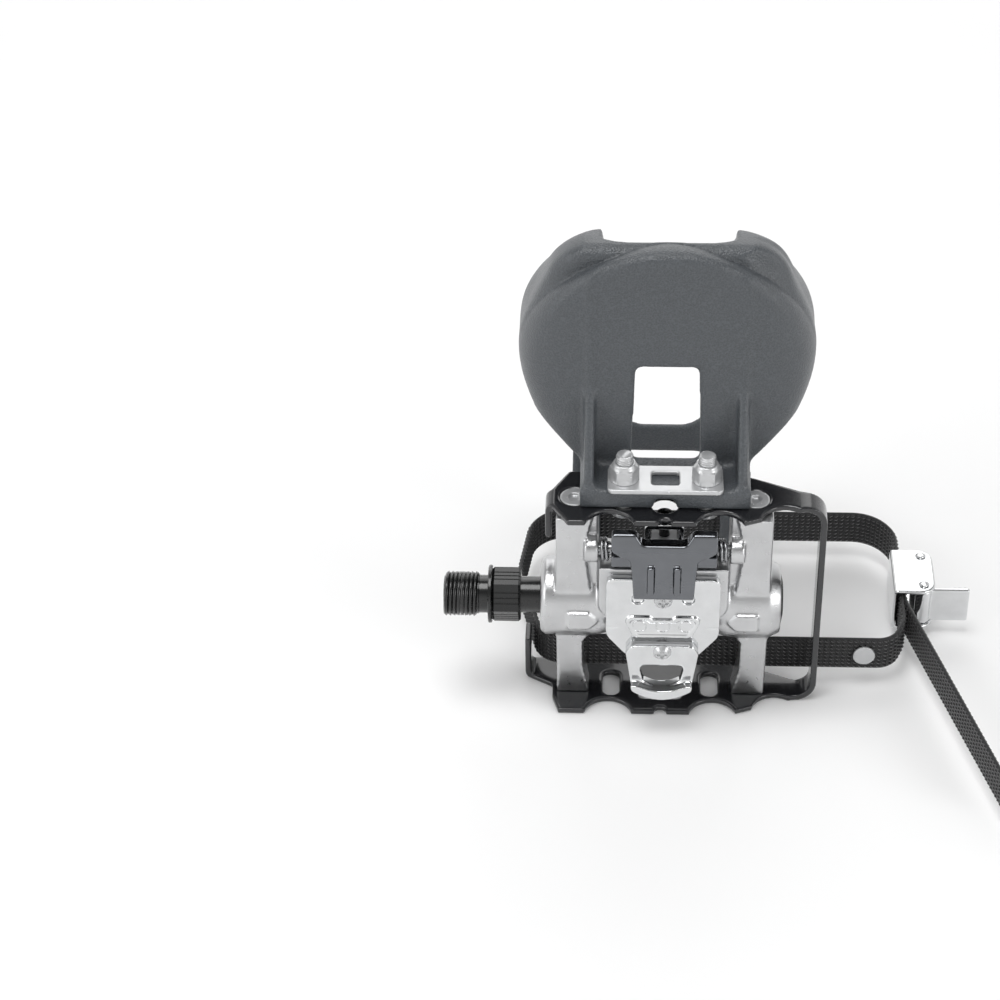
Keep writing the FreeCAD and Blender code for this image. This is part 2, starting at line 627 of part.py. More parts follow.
def make_cage():
    top, low, reach, steel = plate_outer, -plate_outer, d.cage_reach, d.sheet
    inner_bend = d.cage_corner - steel
    front, back = -d.plate_front, d.plate_back
    strip = slab("strip", "XZ", (front, back), [
        (d.heel_inboard, low + d.heel_tab),
        (d.heel_inboard, low, steel * SHEET_BEND),
        (reach, low, d.cage_corner),
        (reach, top, d.cage_corner),
        (d.toe_inboard, top, steel * SHEET_BEND),
        (d.toe_inboard, top - d.toe_tab),
        (d.toe_inboard + steel, top - d.toe_tab),
        (d.toe_inboard + steel, top - steel, steel * SHEET_INSIDE_BEND),
        (reach - steel, top - steel, inner_bend),
        (reach - steel, low + steel, inner_bend),
        (d.heel_inboard + steel, low + steel, steel * SHEET_INSIDE_BEND),
        (d.heel_inboard + steel, low + d.heel_tab),
    ])
    through, upper, lower = (low - steel, top + steel), (0, top + steel), (low - steel, 0)
    slope = outboard_face - d.arm_end_width
    past_front, past_back, past_reach = front - steel, back + steel, reach + steel
    heel_edge, toe_edge = d.heel_inboard + d.cage_corner + steel, d.toe_inboard + d.cage_corner
    tools = [
        slab("front_slope", "XY", through, [
            (slope, front), (slope, past_front), (past_reach, past_front), (past_reach, -d.band_front),
            (reach - d.cage_corner, -d.band_front, d.cage_corner)]),
        slab("back_slope", "XY", through, [
            (slope, back), (slope, past_back), (past_reach, past_back), (past_reach, d.band_back),
            (reach - d.cage_corner, d.band_back, d.cage_corner)]),
        slab("heel_corner", "XY", lower, [
            (d.heel_inboard - steel, past_front), (heel_edge + steel, past_front), (heel_edge + steel, front),
            (heel_edge, -d.scallop_depth, d.band_back), (heel_edge, 0, d.sheet),
            (d.heel_inboard + steel, d.band_back), (d.heel_inboard - steel, d.band_back)]),
        slab("toe_corner", "XY", upper, [
            (d.toe_inboard - steel, past_front), (toe_edge, past_front), (toe_edge, front),
            (d.toe_inboard + steel, -d.band_front), (d.toe_inboard - steel, -d.band_front)]),
        slab("toe_back_corner", "XY", upper, [
            (d.toe_inboard - steel, past_back), (toe_edge, past_back), (toe_edge, back),
            (d.toe_inboard + steel, d.band_back), (d.toe_inboard - steel, d.band_back)]),
    ]
    tall = d.cage_height + steel * 2
    half, length, radius = d.slot_width / 2, d.slot_length / 2, d.slot_width / 2 * SLOT_END
    notch = front - d.scallop_radius + d.scallop_depth
    for side in (-1, 1):
        x = middle + d.scallop_spacing / 2 * side
        tools.append(rod("scallop", "Z", d.scallop_radius, tall, x, notch, low - steel))
        x = middle + d.bolt_spacing / 2 * side
        tools.append(slot("clip_slot", upper, x, -d.clip_bolt_front, half, length, radius))
        x = middle + d.heel_slot_spacing / 2 * side
        tools.append(slot("heel_slot", lower, x, d.heel_slot_back, half, length, radius))
    slope_notch = (outboard_face + d.end_dome, front + d.sheet / 2)
    tools.append(rod("slope_scallop", "Z", d.scallop_radius, tall, *slope_notch, low - steel))
    tools.append(rod("centre_notch", "Z", d.sheet, tall, middle, front, low - steel))
    driver_room = d.tension_head + d.arm_round
    driver_start = plate_inner - steel
    tools.append(rod("driver_hole", "Z", driver_room, steel * 3, middle, -d.tension_back, driver_start))
    tools.append(slot("centre_slot", lower, middle, -d.band_front, d.cage_corner, steel, steel * SLOT_END))
    screw, head = d.cage_screw_radius + d.pin_play, d.cage_screw_head + d.pin_play * 2
    for x in cage_screw_stations():
        tools.append(taper("top_countersink", "Z", screw, head, steel, x, 0, plate_inner))
        tools.append(taper("low_countersink", "Z", head, screw, steel, x, 0, low))
    keep("cage", cut("cage", strip, *tools))


def make_cage_screws():
    screws = []
    flush = d.sheet - d.pin_play
    stem = d.cage_screw_length - d.thread_chamfer
    for x in cage_screw_stations():
        for side, start in ((1, plate_inner), (-1, -plate_inner)):
            radii = (d.cage_screw_radius, d.cage_screw_head)
            radii = radii if side > 0 else radii[::-1]
            head_start = start if side > 0 else start - flush
            stem_start = start - stem if side > 0 else start
            head = taper("cage_screw_head", "Z", *radii, flush, x, 0, head_start)
            shank = rod("cage_screw_stem", "Z", d.cage_screw_radius, stem, x, 0, stem_start)
            drive_start = head_start + flush / 2 if side > 0 else head_start
            drive = hexagon("cage_screw_drive", "Z", d.cage_screw_radius * 1.4, flush / 2, x, 0, drive_start)
            screws.append(cut("cage_screw", fuse("cage_screw_blank", head, shank), drive))
    keep("cage_screws", group("cage_screws", screws))


# Cleat binding: levels ahead of the axis
seat_face = -d.bridge_front
binding_face = seat_face - d.binding_sheet
claw_face = binding_face - d.claw_sheet


def both_sides(name, near, far, make):
    """A feature and its mirror about the middle of the pedal, between two distances from it."""
    inboard, outboard = (middle - far, middle - near), (middle + near, middle + far)
    return [make(f"{name}_in", inboard), make(f"{name}_out", outboard)]


def panel_outline(border):
    """The bare panel's outline, with a dip under the upper screw, inside a border."""
    top, low = d.name_top - border, d.name_top - d.name_height + border
    half, foot = d.name_width / 2 - border, d.name_foot / 2 - border
    dip, corner = d.small_screw_head + border, d.jaw_sheet - border / 2
    return [
        (middle - half, top, corner),
        (middle - dip - d.name_rise, top),
        (middle - dip, top - d.name_rise, d.name_rise),
        (middle + dip, top - d.name_rise, d.name_rise),
        (middle + dip + d.name_rise, top),
        (middle + half, top, corner),
        (middle + foot, low, corner),
        (middle - foot, low, corner)]


def make_binding():
    half, foot = d.binding_half, d.claw_half
    lobe = d.binding_drop / 2
    plate = slab("plate", "XZ", (binding_face, seat_face), [
        (middle - half, d.binding_top, d.jaw_sheet),
        (middle - half, -d.end_dome, lobe),
        (middle - foot, -d.binding_drop, d.claw_sheet),
        (middle + foot, -d.binding_drop, d.claw_sheet),
        (middle + half, -d.end_dome, lobe),
        (middle + half, d.binding_top, d.jaw_sheet),
    ])
    panel_face = binding_face - d.name_rise
    panel = slab("panel", "XZ", (panel_face, binding_face), panel_outline(as_size(0)))
    floor = binding_face - d.name_rise / 2
    recess = slab("panel_recess", "XZ", (panel_face - d.name_rise, floor), panel_outline(d.name_rise))
    tools = [recess]
    for x, z, face in small_screw_places():
        radius = d.small_screw_radius + d.pin_play
        tools.append(rod("plate_hole", "Y", radius, d.small_screw_length, x, claw_face, z))
    seam = d.pin_play * 5
    seams = both_sides("seam", d.name_width / 2 + d.name_rise, half, lambda name, span: block(
        name, span, (binding_face - seam, binding_face + seam), (-seam, seam)))
    pockets = [rod("leg_pocket", "Y", d.jaw_sheet, d.name_rise, middle + d.horn_gap / 2 * side, binding_face,
                   d.barrel_radius - d.name_rise) for side in (-1, 1)]
    keep("binding_plate", cut("binding_plate", fuse("binding_blank", plate, panel), *tools, *seams, *pockets))
    keep("jaw_pin", pin_rod("jaw_pin", d.pin_radius, pin_length - d.pin_play * 2))


def pin_rod(name, radius, length):
    """A rod on the jaw's pivot axis, centred on the pedal."""
    return rod(name, "X", radius, length, middle - length / 2, -d.pivot_front, d.pivot_height)


def make_claw():
    half, foot, reach = d.claw_half, d.claw_foot, -d.claw_reach
    lip, bow = d.claw_lip, d.claw_reach - d.claw_slot
    bar = reach + lip * 2
    base = d.name_top - d.name_height - d.jaw_sheet
    shoulder = base - lip
    plate = slab("claw_plate", "XZ", (claw_face, binding_face), [
        (middle - foot, base, lip / 2), (middle - half, shoulder, lip / 2), (middle - foot, bar, lip),
        (middle, reach, bow),
        (middle + foot, bar, lip), (middle + half, shoulder, lip / 2), (middle + foot, base, lip / 2)])
    inside, rail = foot - d.jaw_sheet, bar + d.jaw_sheet
    hook = slab("claw_bar", "XZ", (claw_face - lip, claw_face), [
        (middle - foot, rail), (middle - foot, bar, d.jaw_sheet), (middle, reach, bow),
        (middle + foot, bar, d.jaw_sheet), (middle + foot, rail), (middle + inside, rail),
        (middle, reach + lip * SHEET_BEND, bow), (middle - inside, rail)])
    window = d.claw_slot / 2
    opening = slab("claw_window", "XZ", (claw_face - lip * 2, binding_face + lip), [
        (middle - window, -d.claw_slot_top, lip / 2), (middle - window + d.name_rise, rail, lip / 2),
        (middle, reach + lip * SHEET_BEND, d.claw_foot - d.name_rise),
        (middle + window - d.name_rise, rail, lip / 2), (middle + window, -d.claw_slot_top, lip / 2)])
    screw = small_screw_places()[1]
    hole = rod("claw_hole", "Y", d.small_screw_radius + d.pin_play, d.claw_sheet * 2, screw[0],
               claw_face - lip, screw[1])
    keep("front_claw", cut("front_claw", fuse("claw_blank", plate, hook), opening, hole))


def make_binding_screws():
    screws = []
    dome = d.small_screw_head / 2
    for x, z, face in small_screw_places():
        stem_end = seat_face + d.small_screw_length - d.thread_chamfer
        stem = rod("small_stem", "Y", d.small_screw_radius, stem_end - face, x, face, z)
        head = taper("small_head", "Y", d.small_screw_head * 0.6, d.small_screw_head, dome, x, face - dome, z)
        arm_half = d.small_screw_radius * 0.22
        arm_reach = d.small_screw_head * 0.55
        slots = [block("cross", (x - a, x + a), (face - dome * 2, face - dome / 2), (z - b, z + b))
                 for a, b in ((arm_half, arm_reach), (arm_reach, arm_half))]
        screws.append(cut("small_screw", fuse("small_blank", stem, head), *slots))
    keep("binding_screws", group("binding_screws", screws))


def make_jaw():
    half, waist, top = d.jaw_half, d.jaw_waist, plate_inner - d.sheet
    face = binding_face - d.jaw_sheet
    inside = binding_face - d.pin_play * 5
    root = -d.pivot_front - d.jaw_sheet
    crown = d.pivot_height + d.jaw_lug
    profile = slab("jaw_profile", "YZ", (middle - half, middle + half), [
        (root, top),
        (root - d.jaw_ear, top, d.name_rise),
        (face + d.name_rise, crown, d.jaw_ear),
        (face, d.bridge_top),
        (face - d.jaw_sheet, d.jaw_lip + d.name_rise),
        (face - d.name_rise, d.jaw_lip),
        (inside - d.name_rise / 2, d.jaw_lip + d.name_rise),
        (inside, d.bridge_top - d.pin_play),
        (seat_face - d.name_rise, d.bridge_top + d.jaw_sheet),
        (seat_face - d.name_rise / 2, crown, d.jaw_sheet),
        (root, top - d.jaw_ear),
    ])
    gap, low = d.horn_gap / 2, d.jaw_lip - d.name_rise
    cut_low, lip_half = crown + d.jaw_sheet, waist - d.name_rise
    front = slab("jaw_front", "XZ", (face * 2, 0), [
        (middle - half, top, d.name_rise),
        (middle - half, crown, d.jaw_sheet),
        (middle - waist, d.pivot_height + d.name_rise, d.name_rise),
        (middle - lip_half, low),
        (middle + lip_half, low),
        (middle + waist, d.pivot_height + d.name_rise, d.name_rise),
        (middle + half, crown, d.jaw_sheet),
        (middle + half, top, d.name_rise),
        (middle + gap + d.name_rise, top, d.name_rise / 2),
        (middle + gap - d.name_rise, cut_low, d.jaw_sheet),
        (middle - gap + d.name_rise, cut_low, d.jaw_sheet),
        (middle - gap - d.name_rise, top, d.name_rise / 2),
    ])
    web = (d.pivot_height - d.jaw_sheet, d.pivot_height + d.jaw_sheet)
    eye = half - waist + d.jaw_sheet
    ears = both_sides("jaw_ear", waist - d.jaw_sheet, half, lambda name, span: fuse(
        name,
        rod(f"{name}_eye", "X", d.jaw_lug, eye, span[0], -d.pivot_front, d.pivot_height),
        block(f"{name}_web", span, (binding_face, -d.pivot_front), web)))
    rib = [
        (face - d.name_rise, d.jaw_lip + d.jaw_ear), (face - d.jaw_sheet * SHEET_BEND, d.jaw_lip + d.jaw_ear),
        (face - d.name_rise, d.pivot_height), (face + d.name_rise, d.pivot_height)]
    rib_far = d.jaw_ear + d.jaw_sheet
    ribs = both_sides("jaw_rib", d.jaw_ear, rib_far, lambda name, span: slab(name, "YZ", span, rib))
    hole = pin_rod("jaw_bore", d.pin_radius + d.pin_play, half * 3)
    solid = fuse("jaw_blank", shared("jaw_plate", profile, front), *ears, *ribs)
    keep("rear_jaw", cut("rear_jaw", solid, hole))


QUARTER_TURN = 0.25


def make_springs():
    span = d.coil_pitch * d.coil_turns
    room = ((d.arm_spacing - d.arm_width) / 2 - d.jaw_half - span) / 2
    starts = {
        "inboard_spring": middle - d.jaw_half - room - span,
        "outboard_spring": middle + d.jaw_half + room,
    }
    for label, start in starts.items():
        helix = add("Part::Helix", label)
        bind(helix, "Pitch", d.coil_pitch)
        bind(helix, "Height", span)
        bind(helix, "Radius", d.coil_radius)
        helix.SegmentLength = QUARTER_TURN
        place(helix, start, -d.pivot_front, d.pivot_height, AXES["X"])
        wire = add("Part::Circle", label)
        bind(wire, "Radius", d.wire_radius)
        place(wire, start, -d.pivot_front + d.coil_radius, d.pivot_height)
        coil = add("Part::Sweep", label)
        coil.Sections = [wire]
        coil.Spine = helix
        coil.Solid = True
        coil.Frenet = True
        leg = d.pivot_height - d.bridge_top - d.seal_play
        behind = d.coil_radius - d.pivot_front
        stem = rod(f"{label}_leg", "Z", d.wire_radius, leg, start, behind, d.pivot_height - leg)
        keep(label, fuse(label, coil, stem))


def make_tension():
    half, deep = d.bracket_half, d.bracket_depth / 2
    y = (-d.tension_back - deep, -d.tension_back + deep)
    shell = slab("bracket", "XZ", y, [
        (middle - half, d.bridge_top), (middle - half, d.bracket_top, d.bracket_sheet),
        (middle + half, d.bracket_top, d.bracket_sheet), (middle + half, d.bridge_top),
        (middle + half - d.bracket_sheet, d.bridge_top),
        (middle + half - d.bracket_sheet, d.bracket_top - d.bracket_sheet),
        (middle - half + d.bracket_sheet, d.bracket_top - d.bracket_sheet),
        (middle - half + d.bracket_sheet, d.bridge_top)])
    through = d.tension_radius + d.pin_play
    hole = rod("bracket_hole", "Z", through, d.bracket_top, middle, -d.tension_back, d.bridge_top)
    keep("tension_bracket", cut("tension_bracket", shell, hole))
    end = d.bridge_top + d.seal_play
    head_start = d.bracket_top + d.seal_play
    stem = rod("tension_stem", "Z", d.tension_radius, head_start - end, middle, -d.tension_back, end)
    head = rod("tension_cap", "Z", d.tension_head, d.tension_rise, middle, -d.tension_back, head_start)
    across, socket_start = d.tension_socket * math.sqrt(3.0), head_start + d.tension_rise / 3
    socket = hexagon("tension_socket", "Z", across, d.tension_rise, middle, -d.tension_back, socket_start)
    keep("tension_screw", cut("tension_screw", fuse("tension_blank", stem, head), socket))
    room = d.bracket_top - d.bracket_sheet - d.bridge_top
    low = d.bridge_top + (room - d.nut_height) / 2
    slide = half - d.bracket_sheet - d.seal_play
    nut = block("tension_nut", (middle - slide, middle + slide), y, (low, low + d.nut_height))
    keep("tension_nut", cut("tension_nut", nut, rod("tension_thread", "Z", through, d.nut_height, middle,
                                                    -d.tension_back, low)))


# Toe clip: levels on the toe plate
flange_top = plate_outer + d.flange_height
backing_top = flange_top + d.backing_sheet
arch_inside = d.arch_back - d.clip_wall
strap_back = arch_inside - d.prong_crown
RING_POINTS = 32
TOE_THICKNESS = 2.6
SOLE_SQUARENESS = 5.0
strap_middle = d.strap_lift - plate_inner
strap_level = (strap_middle - d.strap_width / 2, strap_middle + d.strap_width / 2)


# Rows from prongs to toe: reference width, share of it, share of the arch's depth, squareness of the arch
CUP_ROWS = [
    (d.prong_span, 1.0, 1.0, 9), (d.prong_span, 0.955, 0.996, 9), (d.prong_span, 0.932, 0.988, 8.5),
    (d.prong_span, 0.925, 0.977, 7.5), (d.prong_span, 0.945, 0.962, 6), (d.clip_width, 0.75, 0.943, 4.8),
    (d.clip_width, 0.9, 0.915, 4), (d.clip_width, 1.0, 0.875, 3.4), (d.clip_width, 0.965, 0.81, 3.2),
    (d.clip_width, 0.84, 0.7, 3), (d.clip_width, 0.56, 0.48, 3),
]
CUP_TIP = len(CUP_ROWS) - 1

# Proportions of the clip's openings
ARCH_LOW, ARCH_MID, ARCH_HIGH = 0.975, 0.94, 0.85
MOUTH_LOW, MOUTH_BACK, MOUTH_FRONT = 0.4, 0.34, 0.3
MOUTH_SHARE, MOUTH_REACH = 2.4, 2.6
EDGE_SHARE, EDGE_WIDE = 0.7, 1.6
TOE_FOOT, TOE_LOW, TOE_LIP = 0.86, 0.17, 0.8
WINDOW_FOOT, WINDOW_LOW, WINDOW_TOP = 0.7, 0.24, 0.95
FORK_FOOT = 0.9
LIGHT_FOOT, LIGHT_TOP = 1.1, 0.46
SHOULDER, SHOULDER_TOP = 0.43, 0.2
BEYOND = 1.5


def cup_sections():
    """Evenly spaced stations from prongs to toe: height, width, sole, arch and how square the arch is."""
    step = (d.clip_tip + d.prong_end) / CUP_TIP
    rows = []
    for number, (span, share, arch, square) in enumerate(CUP_ROWS):
        width = span * share
        height = step * number - d.prong_end
        lean = (height - flange_top) * d.sole_lean if height.value > flange_top.value else as_size(0)
        rows.append((height, width, d.sole_back + lean, d.arch_back * arch, square))
    return rows


def cup_ring(name, level, width, sole, arch, square):
    """One section of the cup: a rounded oval, squarer on the sole side than on the arch side."""
    across, deep = width.value / 2, (arch - sole).value / 2
    centre = (sole + arch).value / 2
    points = []
    for i in range(RING_POINTS):
        angle = 2 * math.pi * i / RING_POINTS
        power = square if math.sin(angle) > 0 else SOLE_SQUARENESS
        stretch = abs(math.cos(angle) / across) ** power + abs(math.sin(angle) / deep) ** power
        radius = stretch ** (-1 / power)
        x, y = radius * math.cos(angle), radius * math.sin(angle)
        points.append(FreeCAD.Vector(middle.value + x, centre + y, 0))
    curve = Part.BSplineCurve()
    curve.interpolate(points, PeriodicFlag=True)
    ring = add("Part::Feature", name)
    ring.Shape = Part.Wire([curve.toShape()])
    return place(ring, 0, 0, level)


def cup(name, wall):
    """The cup's outer form, or its inner one where a wall is given."""
    rings = []
    for number, (height, width, sole, arch, square) in enumerate(cup_sections()):
        level = height - wall * {0: 1, CUP_TIP: TOE_THICKNESS}.get(number, 0)
        rings.append(cup_ring(f"{name}_ring", level, width - wall * 2, sole + wall, arch - wall, square))
    loft = add("Part::Loft", name)
    loft.Sections = rings
    loft.Solid = True
    loft.Ruled = False
    return loft


def make_toe_clip():
    shell = cut("cup_shell", cup("cup_outside", as_size(0)), cup("cup_inside", d.clip_wall))
    rise, tip = d.clip_tip - flange_top, d.clip_tip
    far, deep, above = d.clip_width, d.arch_back * BEYOND, d.clip_tip * BEYOND
    side = (middle - far, middle + far)
    edge, below = d.sole_round * EDGE_SHARE, -d.prong_end * BEYOND
    mouth_front, ahead = d.sole_back * MOUTH_SHARE, -d.sole_back * 3
    mouth_back = d.arch_back * ARCH_MID - edge * EDGE_WIDE
    under = slab("under_cut", "YZ", side, [
        (ahead, below), (d.arch_back - edge, below), (d.arch_back * ARCH_LOW - edge, flange_top * MOUTH_LOW),
        (mouth_back, flange_top), (mouth_front, flange_top), (mouth_front, plate_outer),
        (ahead, plate_outer)])
    mouth_low = flange_top - d.sheet
    mouth = slab("side_mouth", "YZ", side, [
        (mouth_front, mouth_low), (mouth_back, mouth_low),
        (d.arch_back * ARCH_HIGH - edge, flange_top + rise * MOUTH_BACK, d.sole_round * BEYOND),
        (d.sole_back * MOUTH_REACH, flange_top + rise * MOUTH_FRONT, d.sole_round)])
    sole = d.sole_back + rise * d.sole_lean
    half, lip, toe_low = d.front_opening / 2, sole + d.sole_round * TOE_LIP, flange_top + rise * TOE_LOW
    foot, toe_corner = half * TOE_FOOT, half - d.sole_round
    front = shared(
        "front_cut",
        slab("front_plan", "XZ", (lip, deep), [
            (middle - half, above), (middle - foot, toe_low, toe_corner),
            (middle + foot, toe_low, toe_corner), (middle + half, above)]),
        slab("front_lip", "XY", (0, above), [
            (middle - half, deep), (middle - half, lip, d.sole_round), (middle + half, lip, d.sole_round),
            (middle + half, deep)]))
    span = d.toe_round + d.sheet
    rolled = slab("toe_roll", "YZ", side, [
        (sole - d.rib_sheet, tip + d.rib_sheet), (sole - d.rib_sheet, tip - span),
        (sole - span * d.sole_lean - d.seal_play, tip - span), (sole - d.pin_play, tip, d.toe_round),
        (sole + span, tip + d.pin_play), (sole + span, tip + d.rib_sheet)])
    arch, gap = d.arch_back * EDGE_SHARE, d.prong_gap / 2
    foot, low, top = gap * WINDOW_FOOT, flange_top * WINDOW_LOW, flange_top * WINDOW_TOP
    window = slab("arch_window", "XZ", (arch, deep), [
        (middle - foot, low, d.sole_round), (middle - gap, top, d.sole_round),
        (middle + gap, top, d.sole_round), (middle + foot, low, d.sole_round)])
    foot = gap * FORK_FOOT
    fork = slab("prong_cut", "XZ", (arch, deep), [
        (middle - gap, below), (middle - foot, 0, edge), (middle + foot, 0, edge), (middle + gap, below)])
    half, foot = d.sole_window / 2, d.sole_window / 2 * LIGHT_FOOT
    light_top = flange_top + rise * LIGHT_TOP
    light = slab("sole_cut", "XZ", (d.sole_back - d.sheet, d.sole_back * 3), [
        (middle - foot, backing_top, d.sheet), (middle + foot, backing_top, d.sheet),
        (middle + half, light_top, d.sheet), (middle - half, light_top, d.sheet)])
    trims = both_sides("sole_trim", d.flange_half, far, lambda name, span: block(
        name, span, (-d.sole_back, mouth_front), (below, flange_top)))
    shoulder, shoulder_top = d.clip_width * SHOULDER, flange_top + rise * SHOULDER_TOP
    for sign in (-1, 1):
        trims.append(slab("sole_shoulder", "XZ", (-d.sole_back, d.sole_back * MOUTH_REACH), [
            (middle + d.flange_half * sign, flange_top), (middle + shoulder * sign, toe_low),
            (middle + far * sign, shoulder_top), (middle + far * sign, flange_top)]))
    moulded = cut("cup_cut", shell, under, mouth, front, rolled, window, fork, light, *trims)
    flange = block("flange", (middle - d.flange_half, middle + d.flange_half),
                   (-d.flange_front, d.sole_back + d.clip_wall), (plate_outer, flange_top))
    rib_front, rib_back = d.sheet - d.flange_front, d.sole_back + d.clip_wall
    lean = d.rib_height * d.sole_lean
    web = [
        (rib_front, mouth_low), (rib_back, mouth_low), (rib_back + lean, flange_top + d.rib_height),
        (d.sole_back - d.name_rise + lean, flange_top + d.rib_height), (rib_front, flange_top + d.rib_sheet)]
    rib_far = d.flange_half - d.name_rise
    ribs = both_sides("rib", rib_far - d.rib_sheet, rib_far, lambda name, span: slab(name, "YZ", span, web))
    gap, leaf_face = d.prong_gap / 2 + d.name_rise, strap_back - d.strap_sheet - d.strap_play
    loop_low = -d.prong_end
    loops = both_sides("loop", gap, d.prong_span / 2 - d.sheet, lambda name, span: slab(name, "YZ", span, [
        (d.arch_back - d.clip_wall / 2, loop_low), (leaf_face - d.clip_wall, loop_low, d.clip_wall),
        (leaf_face - d.clip_wall, strap_level[1] + d.sheet), (leaf_face, strap_level[1] + d.sheet),
        (leaf_face, loop_low + d.clip_wall), (d.arch_back - d.clip_wall / 2, loop_low + d.clip_wall)]))
    body = fuse("clip_body", moulded, flange, *ribs, *loops)
    tools = [block("flange_notch", (middle - d.rib_sheet, middle + d.rib_sheet),
                   (-d.flange_front, -d.name_rise), (plate_outer, plate_outer + d.rib_sheet))]
    for x in clip_bolt_stations():
        radius = d.clip_bolt_radius + d.pin_play
        tools.append(rod("flange_hole", "Z", radius, d.flange_height, x, -d.clip_bolt_front, plate_outer))
    keep("toe_clip", cut("toe_clip", body, *tools))


def clip_bolt_stations():
    return [middle - d.bolt_spacing / 2, middle + d.bolt_spacing / 2]


def make_clip_fasteners():
    half = d.backing_depth / 2
    plate = slab("backing", "XY", (flange_top, backing_top), [
        (middle - d.backing_half, -d.clip_bolt_front - half, d.sheet),
        (middle + d.backing_half, -d.clip_bolt_front - half, d.sheet),
        (middle + d.backing_half, -d.clip_bolt_front + half, d.sheet),
        (middle - d.backing_half, -d.clip_bolt_front + half, d.sheet)])
    tools = [slab("backing_window", "XY", (flange_top, backing_top), [
        (middle - half * 0.65, -d.clip_bolt_front - half * 0.5, d.sheet / 2),
        (middle + half * 0.65, -d.clip_bolt_front - half * 0.5, d.sheet / 2),
        (middle + half * 0.65, -d.clip_bolt_front + half * 0.5, d.sheet / 2),
        (middle - half * 0.65, -d.clip_bolt_front + half * 0.5, d.sheet / 2)])]
    bolts, nuts = [], []
    y, stem_radius, step = -d.clip_bolt_front, d.clip_bolt_radius, d.clip_nut_height / 3
    for x in clip_bolt_stations():
        tools.append(rod("backing_hole", "Z", stem_radius + d.pin_play, d.backing_sheet, x, y, flange_top))
        head_low = plate_inner - d.clip_bolt_radius
        head = rod("clip_bolt_head", "Z", d.clip_bolt_head, d.clip_bolt_radius, x, y, head_low)
        stem_length = backing_top + d.clip_bolt_rise - plate_inner
        stem = rod("clip_bolt_stem", "Z", stem_radius, stem_length, x, y, plate_inner)
        bolts.append(fuse("clip_bolt", head, stem))
        skirt, crown_start = d.clip_bolt_head + d.seal_play, backing_top + d.clip_nut_height
        flange = taper("nut_flange", "Z", skirt, d.clip_nut_flats / 2, step, x, y, backing_top)
        hexed = hexagon("nut_hexagon", "Z", d.clip_nut_flats, d.clip_nut_height, x, y, backing_top)
        crown_top = stem_radius + d.thread_chamfer
        crown = taper("nut_crown", "Z", d.clip_nut_flats / 2, crown_top, step, x, y, crown_start)
        hole = rod("nut_thread", "Z", stem_radius + d.thread_seat, d.clip_nut_height * 2, x, y, backing_top)
        nuts.append(cut("clip_nut", fuse("nut_blank", flange, hexed, crown), hole))
    keep("clip_backing_plate", cut("clip_backing_plate", plate, *tools))
    keep("clip_bolts", group("clip_bolts", bolts))
    keep("clip_nuts", group("clip_nuts", nuts))


# Strap: the loop's plan, seen from the toe
strap_left = d.heel_inboard - d.sheet
strap_right = d.cage_reach + d.cage_corner * 4
buckle_middle = (d.strap_front + strap_back) / 2
rivet_station = strap_right - d.strap_width
buckle_in = strap_right - d.strap_play - d.buckle_sheet
buckle_pins = strap_right + d.strap_sheet * 3 + d.roller_radius + d.strap_play


def ribbon(name, corners):
    """Webbing on edge round a closed plan, which is its inner face."""
    plan = outline(f"{name}_plan", "XY", strap_level[0], corners)
    outer = add("Part::Offset2D", name)
    outer.Source = plan
    outer.Join = "Arc"
    bind(outer, "Value", d.strap_sheet)
    sides = []
    for face in (outer, plan):
        side = add("Part::Extrusion", name)
        side.Base = face
        side.DirMode = "Custom"
        side.Dir = FreeCAD.Vector(0, 0, 1)
        side.Solid = True
        bind(side, "LengthFwd", d.strap_width)
        sides.append(side)
    return cut(name, *sides)


TAIL_ANGLE = math.radians(16.1)


def strap_tail():
    """The loose end beyond the buckle: along the loop, then straight on to its plain cut end."""
    face = strap_right + d.strap_sheet / 2
    start, bend = buckle_middle + d.roller_radius, buckle_middle - d.strap_width
    end_x, end_y = face + d.tail_run * math.tan(TAIL_ANGLE), bend - d.tail_run
    across, along = d.strap_sheet * math.cos(TAIL_ANGLE), d.strap_sheet * math.sin(TAIL_ANGLE)
    outer = face + d.strap_sheet
    outer_bend = bend + d.strap_sheet * math.tan(TAIL_ANGLE / 2)
    return slab("tail", "XY", strap_level, [
        (face, start), (face, bend, d.buckle_length + d.strap_sheet), (end_x, end_y),
        (end_x + across, end_y + along), (outer, outer_bend, d.buckle_length), (outer, start)])


def make_strap():
    bend = d.strap_width
    loop = ribbon("loop", [
        (d.heel_inboard + d.sheet * 3, d.strap_front + d.strap_sheet, bend * 0.6),
        (strap_left, buckle_middle, bend * 2),
        (strap_left + d.sheet * 2, strap_back - d.strap_sheet, bend),
        (strap_right - bend / 2, strap_back - d.strap_sheet, bend),
        (strap_right, buckle_middle + d.buckle_length, bend),
        (strap_right, buckle_middle - d.buckle_length, bend),
        (strap_right - d.band_back, d.strap_front + d.strap_sheet, bend / 2)])
    hole = rod("rivet_hole", "Y", d.rivet_shank + d.thread_seat, d.strap_sheet * 4, rivet_station,
               d.strap_front - d.strap_sheet, strap_middle)
    keep("toe_strap", cut("toe_strap", fuse("webbing", loop, strap_tail()), hole))
    level = d.strap_front
    stem = rod("rivet_stem", "Y", d.rivet_shank, d.strap_sheet, rivet_station, level, strap_middle)
    heads = [rod("rivet_head", "Y", d.rivet_radius, d.rivet_head, rivet_station, y, strap_middle)
             for y in (level - d.rivet_head, level + d.strap_sheet)]
    keep("strap_rivet", fuse("strap_rivet", stem, *heads))


